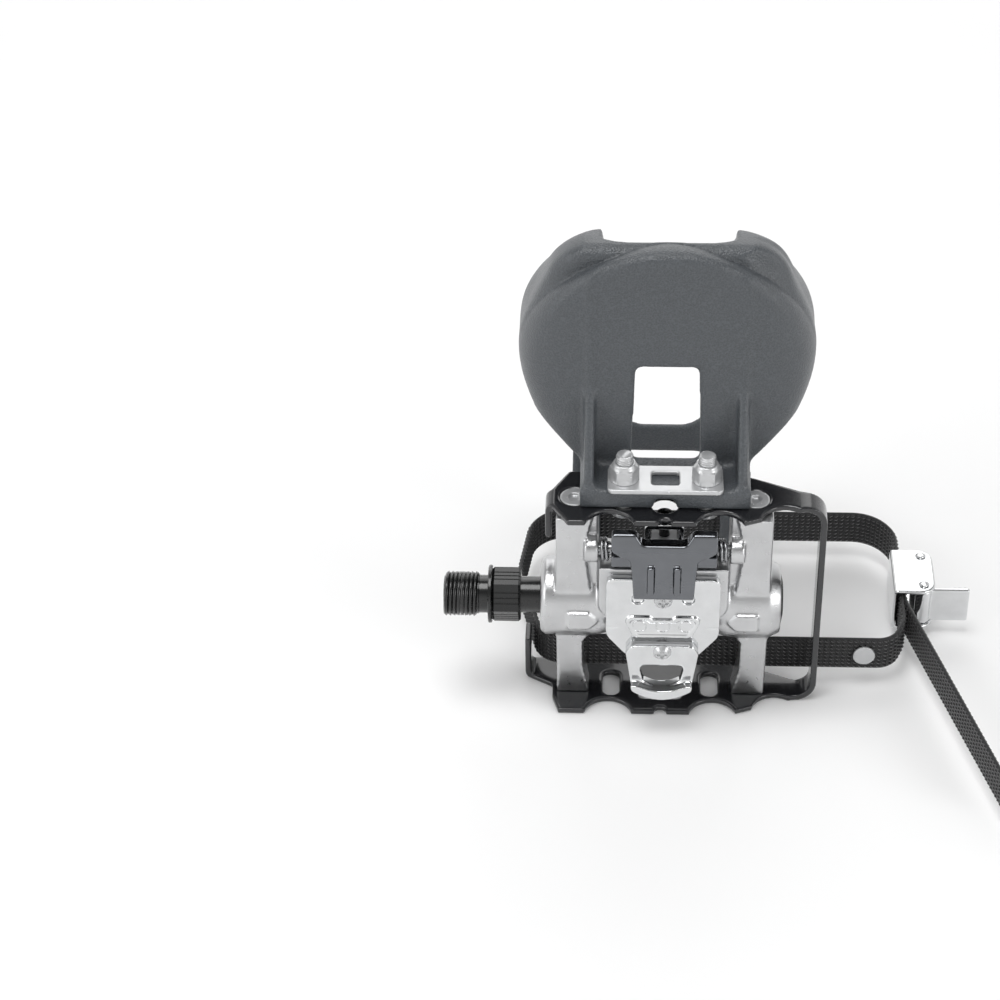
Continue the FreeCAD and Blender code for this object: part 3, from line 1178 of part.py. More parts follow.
def make_buckle():
    low, high = strap_level[0] - d.strap_play, strap_level[1] + d.strap_play
    y = (buckle_middle - d.buckle_length / 2, buckle_middle + d.buckle_length / 2)
    sheet, reach = d.buckle_sheet, buckle_in + d.buckle_depth + d.buckle_sheet
    rounded = slab("buckle_plan", "XY", (low - sheet, high + sheet), [
        (buckle_in, y[0]), (reach, y[0], d.buckle_round), (reach, y[1], d.buckle_round), (buckle_in, y[1])])
    channel = slab("buckle", "XZ", y, [
        (buckle_in, low - sheet, sheet), (reach, low - sheet), (reach, low), (buckle_in + sheet, low),
        (buckle_in + sheet, high), (reach, high), (reach, high + sheet), (buckle_in, high + sheet, sheet)])
    offset = d.buckle_length / 2 - d.roller_radius - d.buckle_sheet
    pin_y = [buckle_middle + offset, buckle_middle - offset]
    tall = high - low + sheet * 2
    bottom, seat = low - sheet, d.buckle_pin + d.thread_seat
    holes = [rod("buckle_hole", "Z", seat, tall, buckle_pins, y, bottom) for y in pin_y]
    keep("buckle_frame", cut("buckle_frame", shared("buckle_shape", channel, rounded), *holes))
    over = d.buckle_sheet / 2
    length = tall + over * 2
    pins = [rod("buckle_pin", "Z", d.buckle_pin, length, buckle_pins, y, bottom - over) for y in pin_y]
    keep("buckle_pins", group("buckle_pins", pins))
    inside = high - low - d.seal_play * 2
    start = low + d.seal_play
    turning = (("buckle_roller", pin_y[0], d.roller_radius), ("buckle_lever", pin_y[1], d.lever_cam))
    for label, y, radius in turning:
        drum = rod(f"{label}_drum", "Z", radius, inside, buckle_pins, y, start)
        pieces = [drum]
        if label == "buckle_lever":
            half = d.lever_sheet / 2
            pieces.append(slab("thumb", "XY", (low + d.seal_play, high - d.seal_play), [
                (buckle_pins, y - half), (buckle_pins + d.lever_length, y - half, half * 0.9),
                (buckle_pins + d.lever_length, y + half, half * 0.9), (buckle_pins, y + half)]))
            for number in (1, 2, 3):
                x = buckle_pins + d.lever_length - d.lever_sheet * number
                pieces.append(rod("grip", "Z", d.grip_radius, inside, x, y + half, start))
        bore_hole = rod(f"{label}_bore", "Z", d.buckle_pin + d.pin_play, inside, buckle_pins, y, start)
        keep(label, cut(label, fuse(f"{label}_blank", *pieces), bore_hole))


def check_and_write():
    doc.recompute()
    for item in doc.Objects:
        if "Invalid" in item.State or "Error" in item.State:
            raise RuntimeError(f"{item.Name} failed: {item.State}")
    os.makedirs("parts", exist_ok=True)
    for label, item in nodes.items():
        if item.Shape.isNull() or not item.Shape.isValid() or not item.Shape.Solids:
            raise RuntimeError(f"{label} has no valid solid")
        item.Shape.exportStep(f"parts/{label}.step")


make_spindle()
make_bearings()
make_body()
make_cage()
make_cage_screws()
make_binding()
make_claw()
make_binding_screws()
make_jaw()
make_springs()
make_tension()
make_toe_clip()
make_clip_fasteners()
make_strap()
make_buckle()
check_and_write()
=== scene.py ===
"""Dual-sided bicycle pedal: finishes, thread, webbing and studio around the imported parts."""

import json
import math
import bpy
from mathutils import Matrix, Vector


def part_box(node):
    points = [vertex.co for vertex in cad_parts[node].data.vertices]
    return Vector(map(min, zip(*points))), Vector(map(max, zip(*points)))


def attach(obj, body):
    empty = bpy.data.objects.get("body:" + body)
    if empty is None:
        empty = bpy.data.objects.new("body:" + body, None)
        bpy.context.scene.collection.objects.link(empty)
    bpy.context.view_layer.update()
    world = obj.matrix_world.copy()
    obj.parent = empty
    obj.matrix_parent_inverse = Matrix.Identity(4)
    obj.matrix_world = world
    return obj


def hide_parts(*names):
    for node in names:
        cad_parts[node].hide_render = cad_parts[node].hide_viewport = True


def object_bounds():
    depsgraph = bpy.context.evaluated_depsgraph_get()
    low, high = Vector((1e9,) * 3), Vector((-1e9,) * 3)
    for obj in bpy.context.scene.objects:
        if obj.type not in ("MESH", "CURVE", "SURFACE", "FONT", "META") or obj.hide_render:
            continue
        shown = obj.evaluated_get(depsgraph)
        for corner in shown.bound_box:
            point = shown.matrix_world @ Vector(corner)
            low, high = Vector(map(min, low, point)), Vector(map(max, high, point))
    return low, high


bl_info = {
    "name": "Bicycle Pedal Dresser",
    "version": (1, 0, 0),
    "blender": (4, 5, 0),
    "location": "View3D > Sidebar > Pedal",
    "description": "Dresses a toe clip pedal with its castings, plating, moulded clip and webbing strap",
    "category": "Object",
}

import bmesh
import bpy
from bpy.props import FloatProperty, PointerProperty, StringProperty
from mathutils import Matrix, Vector

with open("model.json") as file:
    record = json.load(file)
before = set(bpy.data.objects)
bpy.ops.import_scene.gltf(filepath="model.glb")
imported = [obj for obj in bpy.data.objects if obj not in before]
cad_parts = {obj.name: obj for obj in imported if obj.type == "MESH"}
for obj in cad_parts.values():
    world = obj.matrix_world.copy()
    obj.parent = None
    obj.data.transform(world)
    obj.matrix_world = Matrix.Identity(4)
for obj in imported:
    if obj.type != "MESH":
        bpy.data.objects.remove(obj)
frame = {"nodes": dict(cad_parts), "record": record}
CAD_BOX = [list(corner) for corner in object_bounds()]
SLOT_OF = {row["node"]: row["material_slot"] for row in frame["record"]["subparts"]}
BODY_OF = {node: body for body, nodes in frame["record"]["behaviour"]["bodies"].items() for node in nodes}
MM = 0.001

# Copies of parts: gap to weld, tilt that counts as flat, angles of edges that are broken or stay sharp
WELD_GAP = 0.002 * MM
FLAT_TILT = math.radians(0.5)
BROKEN_ANGLE = math.radians(32)
SHARP_ANGLE = math.radians(40)
FINE_EDGE = 0.7

# Parts that are softened on a grid: which grid, and rounds of smoothing
SMOOTHING = 0.5
SOFTENED = {
    "pedal_body": ("cast_voxel", 6),
    "cage": ("sheet_voxel", 4),
    "front_claw": ("plate_voxel", 10),
    "rear_jaw": ("plate_voxel", 10),
    "binding_plate": ("plate_voxel", 8),
    "cage_screws": ("plate_voxel", 4),
    "clip_nuts": ("plate_voxel", 4),
    "strap_rivet": ("plate_voxel", 4),
    "clip_backing_plate": ("plate_voxel", 4),
    "binding_screws": ("screw_voxel", 4),
    "buckle_frame": ("plate_voxel", 6),
    "buckle_lever": ("plate_voxel", 6),
    "toe_clip": ("clip_voxel", 10),
}

# Rings on the bare panel
RING_SPACING = 7.2 * MM
RING_RADIUS = 2.1 * MM
RING_BEAD = 0.22 * MM
RING_MIDDLE = (63.2 * MM, -15.75 * MM, 0.9 * MM)

# Clip bolts
BOLT_SPACING = 25 * MM
BOLT_RADIUS = 2.45 * MM
BOLT_PITCH = 0.8 * MM
BOLT_RIDGE = BOLT_PITCH / 3

# Spindle, in millimetres: stations along its axis with their radii, thread, and grooved wrench flats
SPINDLE_PROFILE = (
    (-5.5, 0), (-5.5, 5.5), (-4.9, 6.25), (5.5, 6.25), (5.7, 6.0), (8.5, 6.0),
    (8.5, 8.9), (8.75, 9.2), (9.45, 9.2), (9.7, 8.9), (9.7, 5.75), (31.7, 5.75),
    (32.5, 4.2), (84.9, 4.2), (84.9, 3.0), (95.7, 3.0), (95.7, 0))
SPINDLE_STEPS = 64
SPINDLE_ANGLE = math.radians(25)
THREAD_RADIUS = 7.144
THREAD_SPAN = (-5.0, 5.2)
WRENCH_SPAN = (9.7, 18.7)
WRENCH_SIDES = 6
WRENCH_FLATS = 15.0
WRENCH_CHAMFER = 0.7
WRENCH_TAPER = 0.93
GROOVE_SHARES = (0.3, 0.5, 0.7)
GROOVE_SECTION = ((-1, 0), (-0.5, 1), (0.5, 1), (1, 0))
GROOVE_HALF = 0.22
GROOVE_DEPTH = 0.28

# Toe clip, in millimetres: its leaning sole, the ridges on it, the cup's rolled rim and its lowered shoulders
SOLE_BACK = 8.0
SOLE_LOW = 46.0
SOLE_LEAN = 0.07
RIDGE_PLACES = (39.8, 86.6)
RIDGE_SPAN = (60.0, 112.0)
RIDGE_HALF = 0.8
RIDGE_RISE = 0.9
RIDGE_END = RIDGE_RISE / 4
RIDGE_ROOT = 1.0
CUP_MIDDLE = (63.2, 74.0)
CUP_HALF = (45.3, 47.0)
RIM_ROLL = 4.5
RIM_DROP = 0.8
RIM_REACH = 24.0
RIM_START = 14.0
RIM_FADE = 16.0
SHOULDER_DROP = 9.0
SHOULDER_START = (12.0, 68.0)
SHOULDER_FADE = (34.0, 50.0)

# Strap, in millimetres: plan of its inner face as corners with their bend radius, and of its loose end
LOOP_PLAN = (
    (25.5, 6.9, 7.5), (17.5, 38.35, 25), (21.5, 69.8, 12.5), (134.75, 69.8, 12.5), (141, 60.35, 12.5),
    (141, 16.35, 12.5), (137, 6.9, 6.25))
TAIL_PLAN = ((141.9, 40.75, 0), (141.9, 25.85, 23.8), (165.86, -57.15, 0))
BEND_STEPS = 12
STRAP_STEP = 0.5
STRAP_LEVEL = -27.5
STRAP_SHEET = 1.8
STRAP_WIDTH = 12.5
STRAP_ANGLE = math.radians(60)

# Webbing: section of the strap's core, in millimetres, and the yarns across it
SELVEDGE = (
    (0.5, -5.4), (0.5, 5.4), (0.4, 6.05), (0, 6.25), (-0.4, 6.05),
    (-0.5, 5.4), (-0.5, -5.4), (-0.4, -6.05), (0, -6.25), (0.4, -6.05))
YARN_COUNT = 8
YARN_SLANT = 0.5
YARN_MARGIN = 0.6
YARN_OVERLAP = 1.1

# Camera at the photograph's viewing angle, its focal length in pixels of a square picture
VIEW_TARGET = Vector((12.87, -3.79, 40.64)) * MM
VIEW_DISTANCE = 823.8 * MM
VIEW_ELEVATION = math.radians(38.08)
VIEW_AZIMUTH = math.radians(-3.2)
VIEW_ROLL = math.radians(-1.19)
VIEW_LENS = 2698.0
VIEW_REACH = 20
SENSOR = 36.0
PICTURE = 1000.0

# Studio, in metres: lamps with their place, panel size and power, then the floor and the sky
LAMP_AIM = Vector((0.05, 0.0, 0.0))
LAMPS = {
    "overhead": ((-0.1, -0.1, 1.2), 0.6, 7.0),
    "left": ((-1.0, -0.5, 0.7), 0.8, 4.5),
    "right": ((1.0, -0.6, 0.5), 0.5, 3.0),
    "back": ((0.1, 1.0, 0.75), 0.9, 3.8),
}
WHITE = "#FFFFFF"
FLOOR_COLOUR = "#F4F4F4"
FLOOR_SHINE = 0.1
FLOOR_HALF = 4.0
FLOOR_GLOW = {"From Min": 0.5, "From Max": 1.8, "To Min": 0.0, "To Max": 0.6}
SKY_LEVEL = {"From Min": 0.25, "From Max": 0.75, "To Min": 1.0, "To Max": 0.25}


def colour(name, code, words):
    return StringProperty(name=name, description=words, default=code)


def length(name, default, words):
    return FloatProperty(name=name, description=words, default=default * MM, unit="LENGTH")


class PedalFinishes(bpy.types.PropertyGroup):
    """Colours that a user would change, as sRGB hex codes."""
    casting: colour("Casting", "#D2D3D4", "Die-cast aluminium body")
    enamel: colour("Cage enamel", "#1B1C1F", "Enamel on the bent steel cage")
    oxide: colour("Black oxide", "#141516", "Blackened spindle and tension screw")
    chrome: colour("Chrome", "#E4E5E6", "Bright plated binding and buckle")
    # The jaw's chrome colour: a darker grey that is painted shade for its dark reflections, not a different
    # plating.
    smoke_chrome: colour("Smoked chrome", "#77797D", "Dark plated jaw")
    zinc: colour("Zinc", "#C9CACB", "Zinc plated screws, bolts, nuts, rivet and backing plate")
    spring: colour("Spring steel", "#9A9B9D", "Oiled springs, jaw pin and bearing")
    plastic: colour("Clip plastic", "#4C5054", "Grained nylon toe clip")
    webbing: colour("Webbing", "#1A1A1C", "Woven strap")
    rubber: colour("Rubber", "#161616", "Spindle seal and end cap")


class PedalSizes(bpy.types.PropertyGroup):
    """Sizes that a user would change, given here in millimetres."""
    clip_voxel: length("Clip grid", 0.76, "Grid on which the moulded clip is smoothed")
    cast_voxel: length("Casting grid", 0.5, "Grid on which the cast body is smoothed")
    sheet_voxel: length("Cage grid", 0.45, "Grid on which the bent cage is smoothed")
    screw_voxel: length("Screw grid", 0.18, "Grid on which the binding's screws are smoothed")
    plate_voxel: length("Plating grid", 0.3, "Grid on which the plated pieces are smoothed")
    grain: length("Plastic grain", 0.55, "Spacing of the moulded grain")
    thread_pitch: length("Thread pitch", 1.27, "Crank thread, twenty turns to the inch")
    thread_depth: length("Thread depth", 0.78, "Crank thread, crest to root")
    pick: length("Weave pitch", 1.9, "Spacing of the rows of yarn along the strap")
    pick_rise: length("Weave relief", 0.08, "How far the yarns stand proud of the strap's faces")
    edge: length("Edge radius", 0.35, "Broken edges of plated and turned pieces")


def finishes():
    return bpy.context.scene.pedal_finishes


def sizes():
    return bpy.context.scene.pedal_sizes


def linear(code):
    """An sRGB hex colour as linear RGBA."""
    channels = [int(code[i:i + 2], 16) / 255 for i in (1, 3, 5)]
    return [c / 12.92 if c <= 0.04045 else ((c + 0.055) / 1.055) ** 2.4 for c in channels] + [1.0]


def darker(code, share):
    """A hex colour with its channels cut to a share."""
    channels = [round(int(code[i:i + 2], 16) * share) for i in (1, 3, 5)]
    return "#" + "".join(f"{c:02X}" for c in channels)


def add(tree, kind, settings=None, links=None):
    """A node with its settings, and links from other sockets to its inputs."""
    node = tree.nodes.new(kind)
    for key, value in (settings or {}).items():
        if isinstance(key, str) and hasattr(node, key):
            setattr(node, key, value)
        else:
            node.inputs[key].default_value = value
    for key, socket in (links or {}).items():
        tree.links.new(socket, node.inputs[key])
    return node


def surface(name, base, metallic, roughness, sockets=None):
    """A new principled material: returns it, its tree, its shader and its object coordinates."""
    material = bpy.data.materials.new(name)
    material.use_nodes = True
    tree = material.node_tree
    shader = tree.nodes["Principled BSDF"]
    values = {"Base Color": linear(base), "Metallic": metallic, "Roughness": roughness}
    for key, value in (values | (sockets or {})).items():
        shader.inputs[key].default_value = value
    place = add(tree, "ShaderNodeTexCoord").outputs["Object"]
    return material, tree, shader, place


def mottle(tree, place, size, low=0.0, high=1.0, detail=3.0):
    """A pattern of a real size in millimetres, spread between two values."""
    noise = add(tree, "ShaderNodeTexNoise", {"Scale": 1 / (size * MM), "Detail": detail}, {"Vector": place})
    spread = {"To Min": low, "To Max": high}
    return add(tree, "ShaderNodeMapRange", spread, {"Value": noise.outputs["Fac"]}).outputs["Result"]


def patterned(tree, shader, gloss=None, stain=None, relief=None):
    """Give a shader its patterns.

    gloss is the pattern of its roughness. stain is a pattern with the colour that it darkens and the share
    that stays. relief is a pattern with its depth in millimetres.
    """
    if gloss is not None:
        tree.links.new(gloss, shader.inputs["Roughness"])
    if stain:
        pattern, base, share = stain
        colours = {"data_type": "RGBA", 6: linear(darker(base, share)), 7: linear(base)}
        mixed = add(tree, "ShaderNodeMix", colours, {"Factor": pattern})
        tree.links.new(mixed.outputs[2], shader.inputs["Base Color"])
    if relief:
        pattern, depth = relief
        bump = add(tree, "ShaderNodeBump", {"Distance": depth * MM}, {"Height": pattern})
        tree.links.new(bump.outputs["Normal"], shader.inputs["Normal"])


# Die-cast aluminium, tumbled: bright and satin, with faint flow marks and a fine sand texture.
def cast_aluminium():
    base = finishes().casting
    material, tree, shader, place = surface("cast_aluminium", base, 1.0, 0.3)
    patterned(tree, shader, mottle(tree, place, 2.2, 0.2, 0.42), (mottle(tree, place, 9), base, 0.86),
              (mottle(tree, place, 0.5), 0.05))
    return material


# Stoved enamel on steel: a deep gloss black with slight orange peel.
def cage_enamel():
    base = finishes().enamel
    coat = {"Coat Weight": 0.6, "Coat Roughness": 0.08}
    material, tree, shader, place = surface("stoved_enamel", base, 0.0, 0.22, coat)
    patterned(tree, shader, mottle(tree, place, 6, 0.16, 0.3), (mottle(tree, place, 11), base, 0.8),
              (mottle(tree, place, 1.6), 0.03))
    return material


# Black oxide on turned steel: nearly black metal with a soft oiled sheen.
def black_oxide():
    base = finishes().oxide
    oil = {"Coat Weight": 0.5, "Coat Roughness": 0.1}
    material, tree, shader, place = surface("black_oxide_steel", base, 0.3, 0.26, oil)
    patterned(tree, shader, mottle(tree, place, 2.5, 0.18, 0.34), (mottle(tree, place, 4), base, 0.7))
    return material


# Chrome plate on stamped steel: mirror bright, a little wavy where the stamping drew it.
def chrome(name, base, roughness):
    material, tree, shader, place = surface(name, base, 1.0, roughness)
    patterned(tree, shader, mottle(tree, place, 3, roughness * 0.7, roughness * 1.6),
              (mottle(tree, place, 5), base, 0.9), (mottle(tree, place, 5, detail=1.0), 0.06))
    return material


# Bright chrome: the plain plate, pale and mirror bright.
def bright_chrome():
    return chrome("bright_chrome", finishes().chrome, 0.1)


# Darkened chrome for the jaw: the same plate, with a grey base colour that is painted shade standing for the
# jaw's dark reflections, and a little softer.
def chrome_with_painted_shade():
    return chrome("chrome_with_painted_shade", finishes().smoke_chrome, 0.13)


# Zinc plate on steel: pale, satin, faintly mottled.
def zinc_plate():
    base = finishes().zinc
    material, tree, shader, place = surface("zinc_plate", base, 0.55, 0.3)
    patterned(tree, shader, mottle(tree, place, 1.4, 0.2, 0.3), (mottle(tree, place, 4), base, 0.92),
              (mottle(tree, place, 0.7), 0.004))
    return material


# Oiled spring wire and bearing steel: drawn or ground metal, darker than the plating.
def spring_wire():
    material, tree, shader, place = surface("spring_wire", finishes().spring, 1.0, 0.25)
    patterned(tree, shader, mottle(tree, place, 1.5, 0.18, 0.34))
    return material


# Glass-filled nylon with a spark-eroded grain: dark grey, matt. The grain is as coarse as it needs to show.
def grained_nylon():
    base = finishes().plastic
    material, tree, shader, place = surface("grained_nylon", base, 0.0, 0.38, {"IOR": 1.53})
    cells = add(tree, "ShaderNodeTexVoronoi", {"Scale": 1 / sizes().grain}, {"Vector": place})
    pebbles = {"From Min": 0.1, "From Max": 0.8}
    speckle = add(tree, "ShaderNodeMapRange", pebbles, {"Value": cells.outputs["Distance"]}).outputs["Result"]
    patterned(tree, shader, mottle(tree, place, 4, 0.33, 0.43), (speckle, base, 0.8), (speckle, 0.09))
    return material


# Moulded rubber: black and dull.
def seal_rubber():
    material, tree, shader, place = surface("seal_rubber", finishes().rubber, 0.0, 0.7)
    patterned(tree, shader, mottle(tree, place, 1, 0.6, 0.8))
    return material


# Woven nylon webbing: black yarn with a silky sheen. Its fibres are drawn as coarse as they need to show.
def woven_nylon():
    base = finishes().webbing
    silk = {"Sheen Weight": 0.35, "Sheen Roughness": 0.4}
    material, tree, shader, place = surface("woven_nylon", base, 0.0, 0.55, silk)
    fibre = mottle(tree, place, 0.35)
    patterned(tree, shader, stain=(fibre, base, 0.6), relief=(fibre, 0.05))
    return material


SLOT_FINISH = {
    "cast_aluminium": cast_aluminium,
    "black_cap": seal_rubber,
    "cage_enamel": cage_enamel,
    "black_oxide": black_oxide,
    "bright_chrome": bright_chrome,
    "dark_chrome": chrome_with_painted_shade,
    "zinc_steel": zinc_plate,
    "spring_steel": spring_wire,
    "bearing_steel": spring_wire,
    "clip_plastic": grained_nylon,
    "webbing": woven_nylon,
    "seal_rubber": seal_rubber,
}
made = {}


def finish_of(slot):
    """The material of a slot, made once."""
    if slot not in made:
        made[slot] = SLOT_FINISH[slot]()
    return made[slot]


def stand_in(node, mesh):
    """A piece that stands for a CAD node: it rides on the node's body and takes its slot."""
    piece = bpy.data.objects.new(f"{node}_finish", mesh)
    bpy.context.scene.collection.objects.link(piece)
    mesh.materials.clear()
    mesh.materials.append(finish_of(SLOT_OF[node]))
    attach(piece, BODY_OF[node])
    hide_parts(node)


def worked(mesh, *steps):
    """The plain mesh that modifiers give, each by its kind and settings. The first mesh is used up."""
    carrier = bpy.data.objects.new(mesh.name, mesh)
    bpy.context.scene.collection.objects.link(carrier)
    for kind, settings in steps:
        modifier = carrier.modifiers.new(kind, kind)
        for key, value in settings.items():
            if hasattr(modifier, key):
                setattr(modifier, key, value)
            else:
                modifier[key] = value
    bpy.context.view_layer.update()
    graph = bpy.context.evaluated_depsgraph_get()
    result = bpy.data.meshes.new_from_object(carrier.evaluated_get(graph))
    bpy.data.objects.remove(carrier)
    bpy.data.meshes.remove(mesh)
    return result


def merged_copy(node):
    """A CAD node's mesh, joined up and with its flat faces whole."""
    mesh = frame["nodes"][node].data.copy()
    work = bmesh.new()
    work.from_mesh(mesh)
    bmesh.ops.remove_doubles(work, verts=work.verts, dist=WELD_GAP)
    bmesh.ops.dissolve_limit(work, angle_limit=FLAT_TILT, verts=work.verts, edges=work.edges)
    work.to_mesh(mesh)
    work.free()
    return mesh


def broken_edges(node, radius, segments=2):
    """A copy of a CAD node's mesh with its sharp edges rounded."""
    mesh = worked(merged_copy(node), ("BEVEL", {
        "width": radius, "segments": segments, "limit_method": "ANGLE", "angle_limit": BROKEN_ANGLE,
        "use_clamp_overlap": True, "harden_normals": True}))
    mesh.shade_smooth()
    mesh.set_sharp_from_angle(angle=SHARP_ANGLE)
    return mesh


def softened(node, mesh=None):
    """A CAD node's mesh, or a changed copy of it, softened on an even grid as a mould or a die leaves it."""
    grid, rounds = SOFTENED[node]
    voxel = getattr(sizes(), grid) * 1
    mesh = worked(mesh or merged_copy(node), ("REMESH", {"mode": "VOXEL", "voxel_size": voxel}),
                  ("SMOOTH", {"factor": SMOOTHING, "iterations": rounds}))
    mesh.shade_smooth()
    return mesh


def mesh_from(work, name, sharp):
    """A bmesh turned into a shaded mesh with its faces outwards."""
    bmesh.ops.recalc_face_normals(work, faces=work.faces)
    mesh = bpy.data.meshes.new(name)
    work.to_mesh(mesh)
    work.free()
    mesh.shade_smooth()
    mesh.set_sharp_from_angle(angle=sharp)
    return mesh


def join(name, meshes):
    """Several meshes as one."""
    work = bmesh.new()
    for mesh in meshes:
        work.from_mesh(mesh)
    joined = bpy.data.meshes.new(name)
    work.to_mesh(joined)
    work.free()
    return joined


def skin(work, rings):
    """Faces from each ring of points to the next. A ring of one point is a pole."""
    for first, second in zip(rings, rings[1:]):
        for i in range(max(len(first), len(second))):
            corners = [first[i % len(first)], first[(i + 1) % len(first)],
                       second[(i + 1) % len(second)], second[i % len(second)]]
            work.faces.new(list(dict.fromkeys(corners)))


def grown(tree, values, seed=None):
    """The plain mesh that a geometry tree gives for its named inputs, on a seed mesh where it needs one."""
    settings = {"node_group": tree}
    for socket in tree.interface.items_tree:
        if socket.in_out == "INPUT" and socket.name in values:
            settings[socket.identifier] = values[socket.name]
    return worked(seed or bpy.data.meshes.new(tree.name), ("NODES", settings))


def geometry_tree(name, inputs):
    """An empty geometry tree with named inputs: the tree, its input sockets and a way to close it."""
    tree = bpy.data.node_groups.new(name, "GeometryNodeTree")
    tree.interface.new_socket("Geometry", in_out="OUTPUT", socket_type="NodeSocketGeometry")
    tree.interface.new_socket("Geometry", in_out="INPUT", socket_type="NodeSocketGeometry")
    for label, kind in inputs.items():
        tree.interface.new_socket(label, in_out="INPUT", socket_type=f"NodeSocket{kind}")
    source = add(tree, "NodeGroupInput")

    def close(geometry):
        real = add(tree, "GeometryNodeRealizeInstances", None, {"Geometry": geometry})
        dressed = add(tree, "GeometryNodeSetMaterial", None,
                      {"Geometry": real.outputs["Geometry"], "Material": source.outputs["Material"]})
        add(tree, "NodeGroupOutput", None, {"Geometry": dressed.outputs["Geometry"]})
        return tree

    return tree, source.outputs, close


# A screw thread: one ridge swept along a spiral, half of it sunk into the core
def thread_tree():
    tree, given, close = geometry_tree("screw_thread", {
        "Turns": "Float", "Radius": "Float", "Height": "Float", "Depth": "Float",
        "Turn": "Vector", "Start": "Vector", "Material": "Material"})
    spiral = add(tree, "GeometryNodeCurveSpiral", {"Resolution": 40}, {
        "Rotations": given["Turns"], "Start Radius": given["Radius"], "End Radius": given["Radius"],
        "Height": given["Height"]})
    ridge = add(tree, "GeometryNodeCurvePrimitiveCircle", {"Resolution": 4}, {"Radius": given["Depth"]})
    swept = add(tree, "GeometryNodeCurveToMesh", {"Fill Caps": True},
                {"Curve": spiral.outputs["Curve"], "Profile Curve": ridge.outputs["Curve"]})
    placed = add(tree, "GeometryNodeTransform", None, {
        "Geometry": swept.outputs["Mesh"], "Translation": given["Start"], "Rotation": given["Turn"]})
    return close(placed.outputs["Geometry"])


# Weave of a strap: a row of slanted yarn beads across it at each pick, drawn as coarse as it needs to show
def pick_tree():
    tree, given, close = geometry_tree("woven_picks", {
        "Spacing": "Float", "Bead": "Vector", "Start": "Vector", "Step": "Vector", "Count": "Int",
        "Material": "Material"})
    line = add(tree, "GeometryNodeMeshToCurve", None, {"Mesh": given["Geometry"]})
    upright = add(tree, "GeometryNodeSetCurveNormal", {"mode": "Z_UP"}, {"Curve": line.outputs["Curve"]})
    points = add(tree, "GeometryNodeCurveToPoints", {"mode": "LENGTH"},
                 {"Curve": upright.outputs["Curve"], "Length": given["Spacing"]})
    ball = add(tree, "GeometryNodeMeshUVSphere", {"Segments": 6, "Rings": 5, "Radius": 0.5})
    bead = add(tree, "GeometryNodeTransform", {"Rotation": (YARN_SLANT, 0, 0)},
               {"Geometry": ball.outputs["Mesh"], "Scale": given["Bead"]})
    across = add(tree, "GeometryNodeMeshLine", None,
                 {"Count": given["Count"], "Start Location": given["Start"], "Offset": given["Step"]})
    row = add(tree, "GeometryNodeInstanceOnPoints", None,
              {"Points": across.outputs["Mesh"], "Instance": bead.outputs["Geometry"]})
    spread = add(tree, "GeometryNodeInstanceOnPoints", None, {
        "Points": points.outputs["Points"], "Instance": row.outputs["Instances"],
        "Rotation": points.outputs["Rotation"]})
    return close(spread.outputs["Instances"])


# Embossed rings on the bare panel: three beads in a row
def ring_tree():
    tree, given, close = geometry_tree("embossed_rings", {
        "Spacing": "Float", "Radius": "Float", "Bead": "Float", "Middle": "Vector", "Material": "Material"})
    step = add(tree, "ShaderNodeCombineXYZ", None, {"X": given["Spacing"]})
    back = add(tree, "ShaderNodeVectorMath", {"operation": "SUBTRACT"},
               {0: given["Middle"], 1: step.outputs["Vector"]})
    row = add(tree, "GeometryNodeMeshLine", {"Count": 3},
              {"Start Location": back.outputs["Vector"], "Offset": step.outputs["Vector"]})
    circle = add(tree, "GeometryNodeCurvePrimitiveCircle", {"Resolution": 32}, {"Radius": given["Radius"]})
    bead = add(tree, "GeometryNodeCurvePrimitiveCircle", {"Resolution": 6}, {"Radius": given["Bead"]})
    ring = add(tree, "GeometryNodeCurveToMesh", None,
               {"Curve": circle.outputs["Curve"], "Profile Curve": bead.outputs["Curve"]})
    spread = add(tree, "GeometryNodeInstanceOnPoints", {"Rotation": (math.pi / 2, 0, 0)},
                 {"Points": row.outputs["Mesh"], "Instance": ring.outputs["Mesh"]})
    return close(spread.outputs["Instances"])


class PEDAL_OT_finish_nodes(bpy.types.Operator):
    """Give every carried-over part the finish of its slot"""
    bl_idname = "pedal.finish_nodes"
    bl_label = "Finish parts"

    def execute(self, context):
        for node, item in frame["nodes"].items():
            item.data.materials.clear()
            item.data.materials.append(finish_of(SLOT_OF[node]))
        return {"FINISHED"}


class PEDAL_OT_casting(bpy.types.Operator):
    """Soften the die-cast body and round the edges of its end cap"""
    bl_idname = "pedal.casting"
    bl_label = "Cast body"

    def execute(self, context):
        stand_in("pedal_body", softened("pedal_body"))
        stand_in("dust_cap", broken_edges("dust_cap", sizes().edge))
        return {"FINISHED"}


class PEDAL_OT_cage(bpy.types.Operator):
    """Soften the bent cage"""
    bl_idname = "pedal.cage"
    bl_label = "Cage"

    def execute(self, context):
        stand_in("cage", softened("cage"))
        return {"FINISHED"}


class PEDAL_OT_binding(bpy.types.Operator):
    """Soften the plated binding and emboss the rings on its plate"""
    bl_idname = "pedal.binding"
    bl_label = "Binding"

    def execute(self, context):
        stand_in("tension_bracket", broken_edges("tension_bracket", sizes().edge, 3))
        for node in ("front_claw", "rear_jaw"):
            stand_in(node, softened(node))
        plate = softened("binding_plate")
        rings = grown(ring_tree(), {
            "Spacing": RING_SPACING, "Radius": RING_RADIUS, "Bead": RING_BEAD, "Middle": RING_MIDDLE,
            "Material": finish_of(SLOT_OF["binding_plate"])})
        stand_in("binding_plate", join("binding_plate", [plate, rings]))
        return {"FINISHED"}


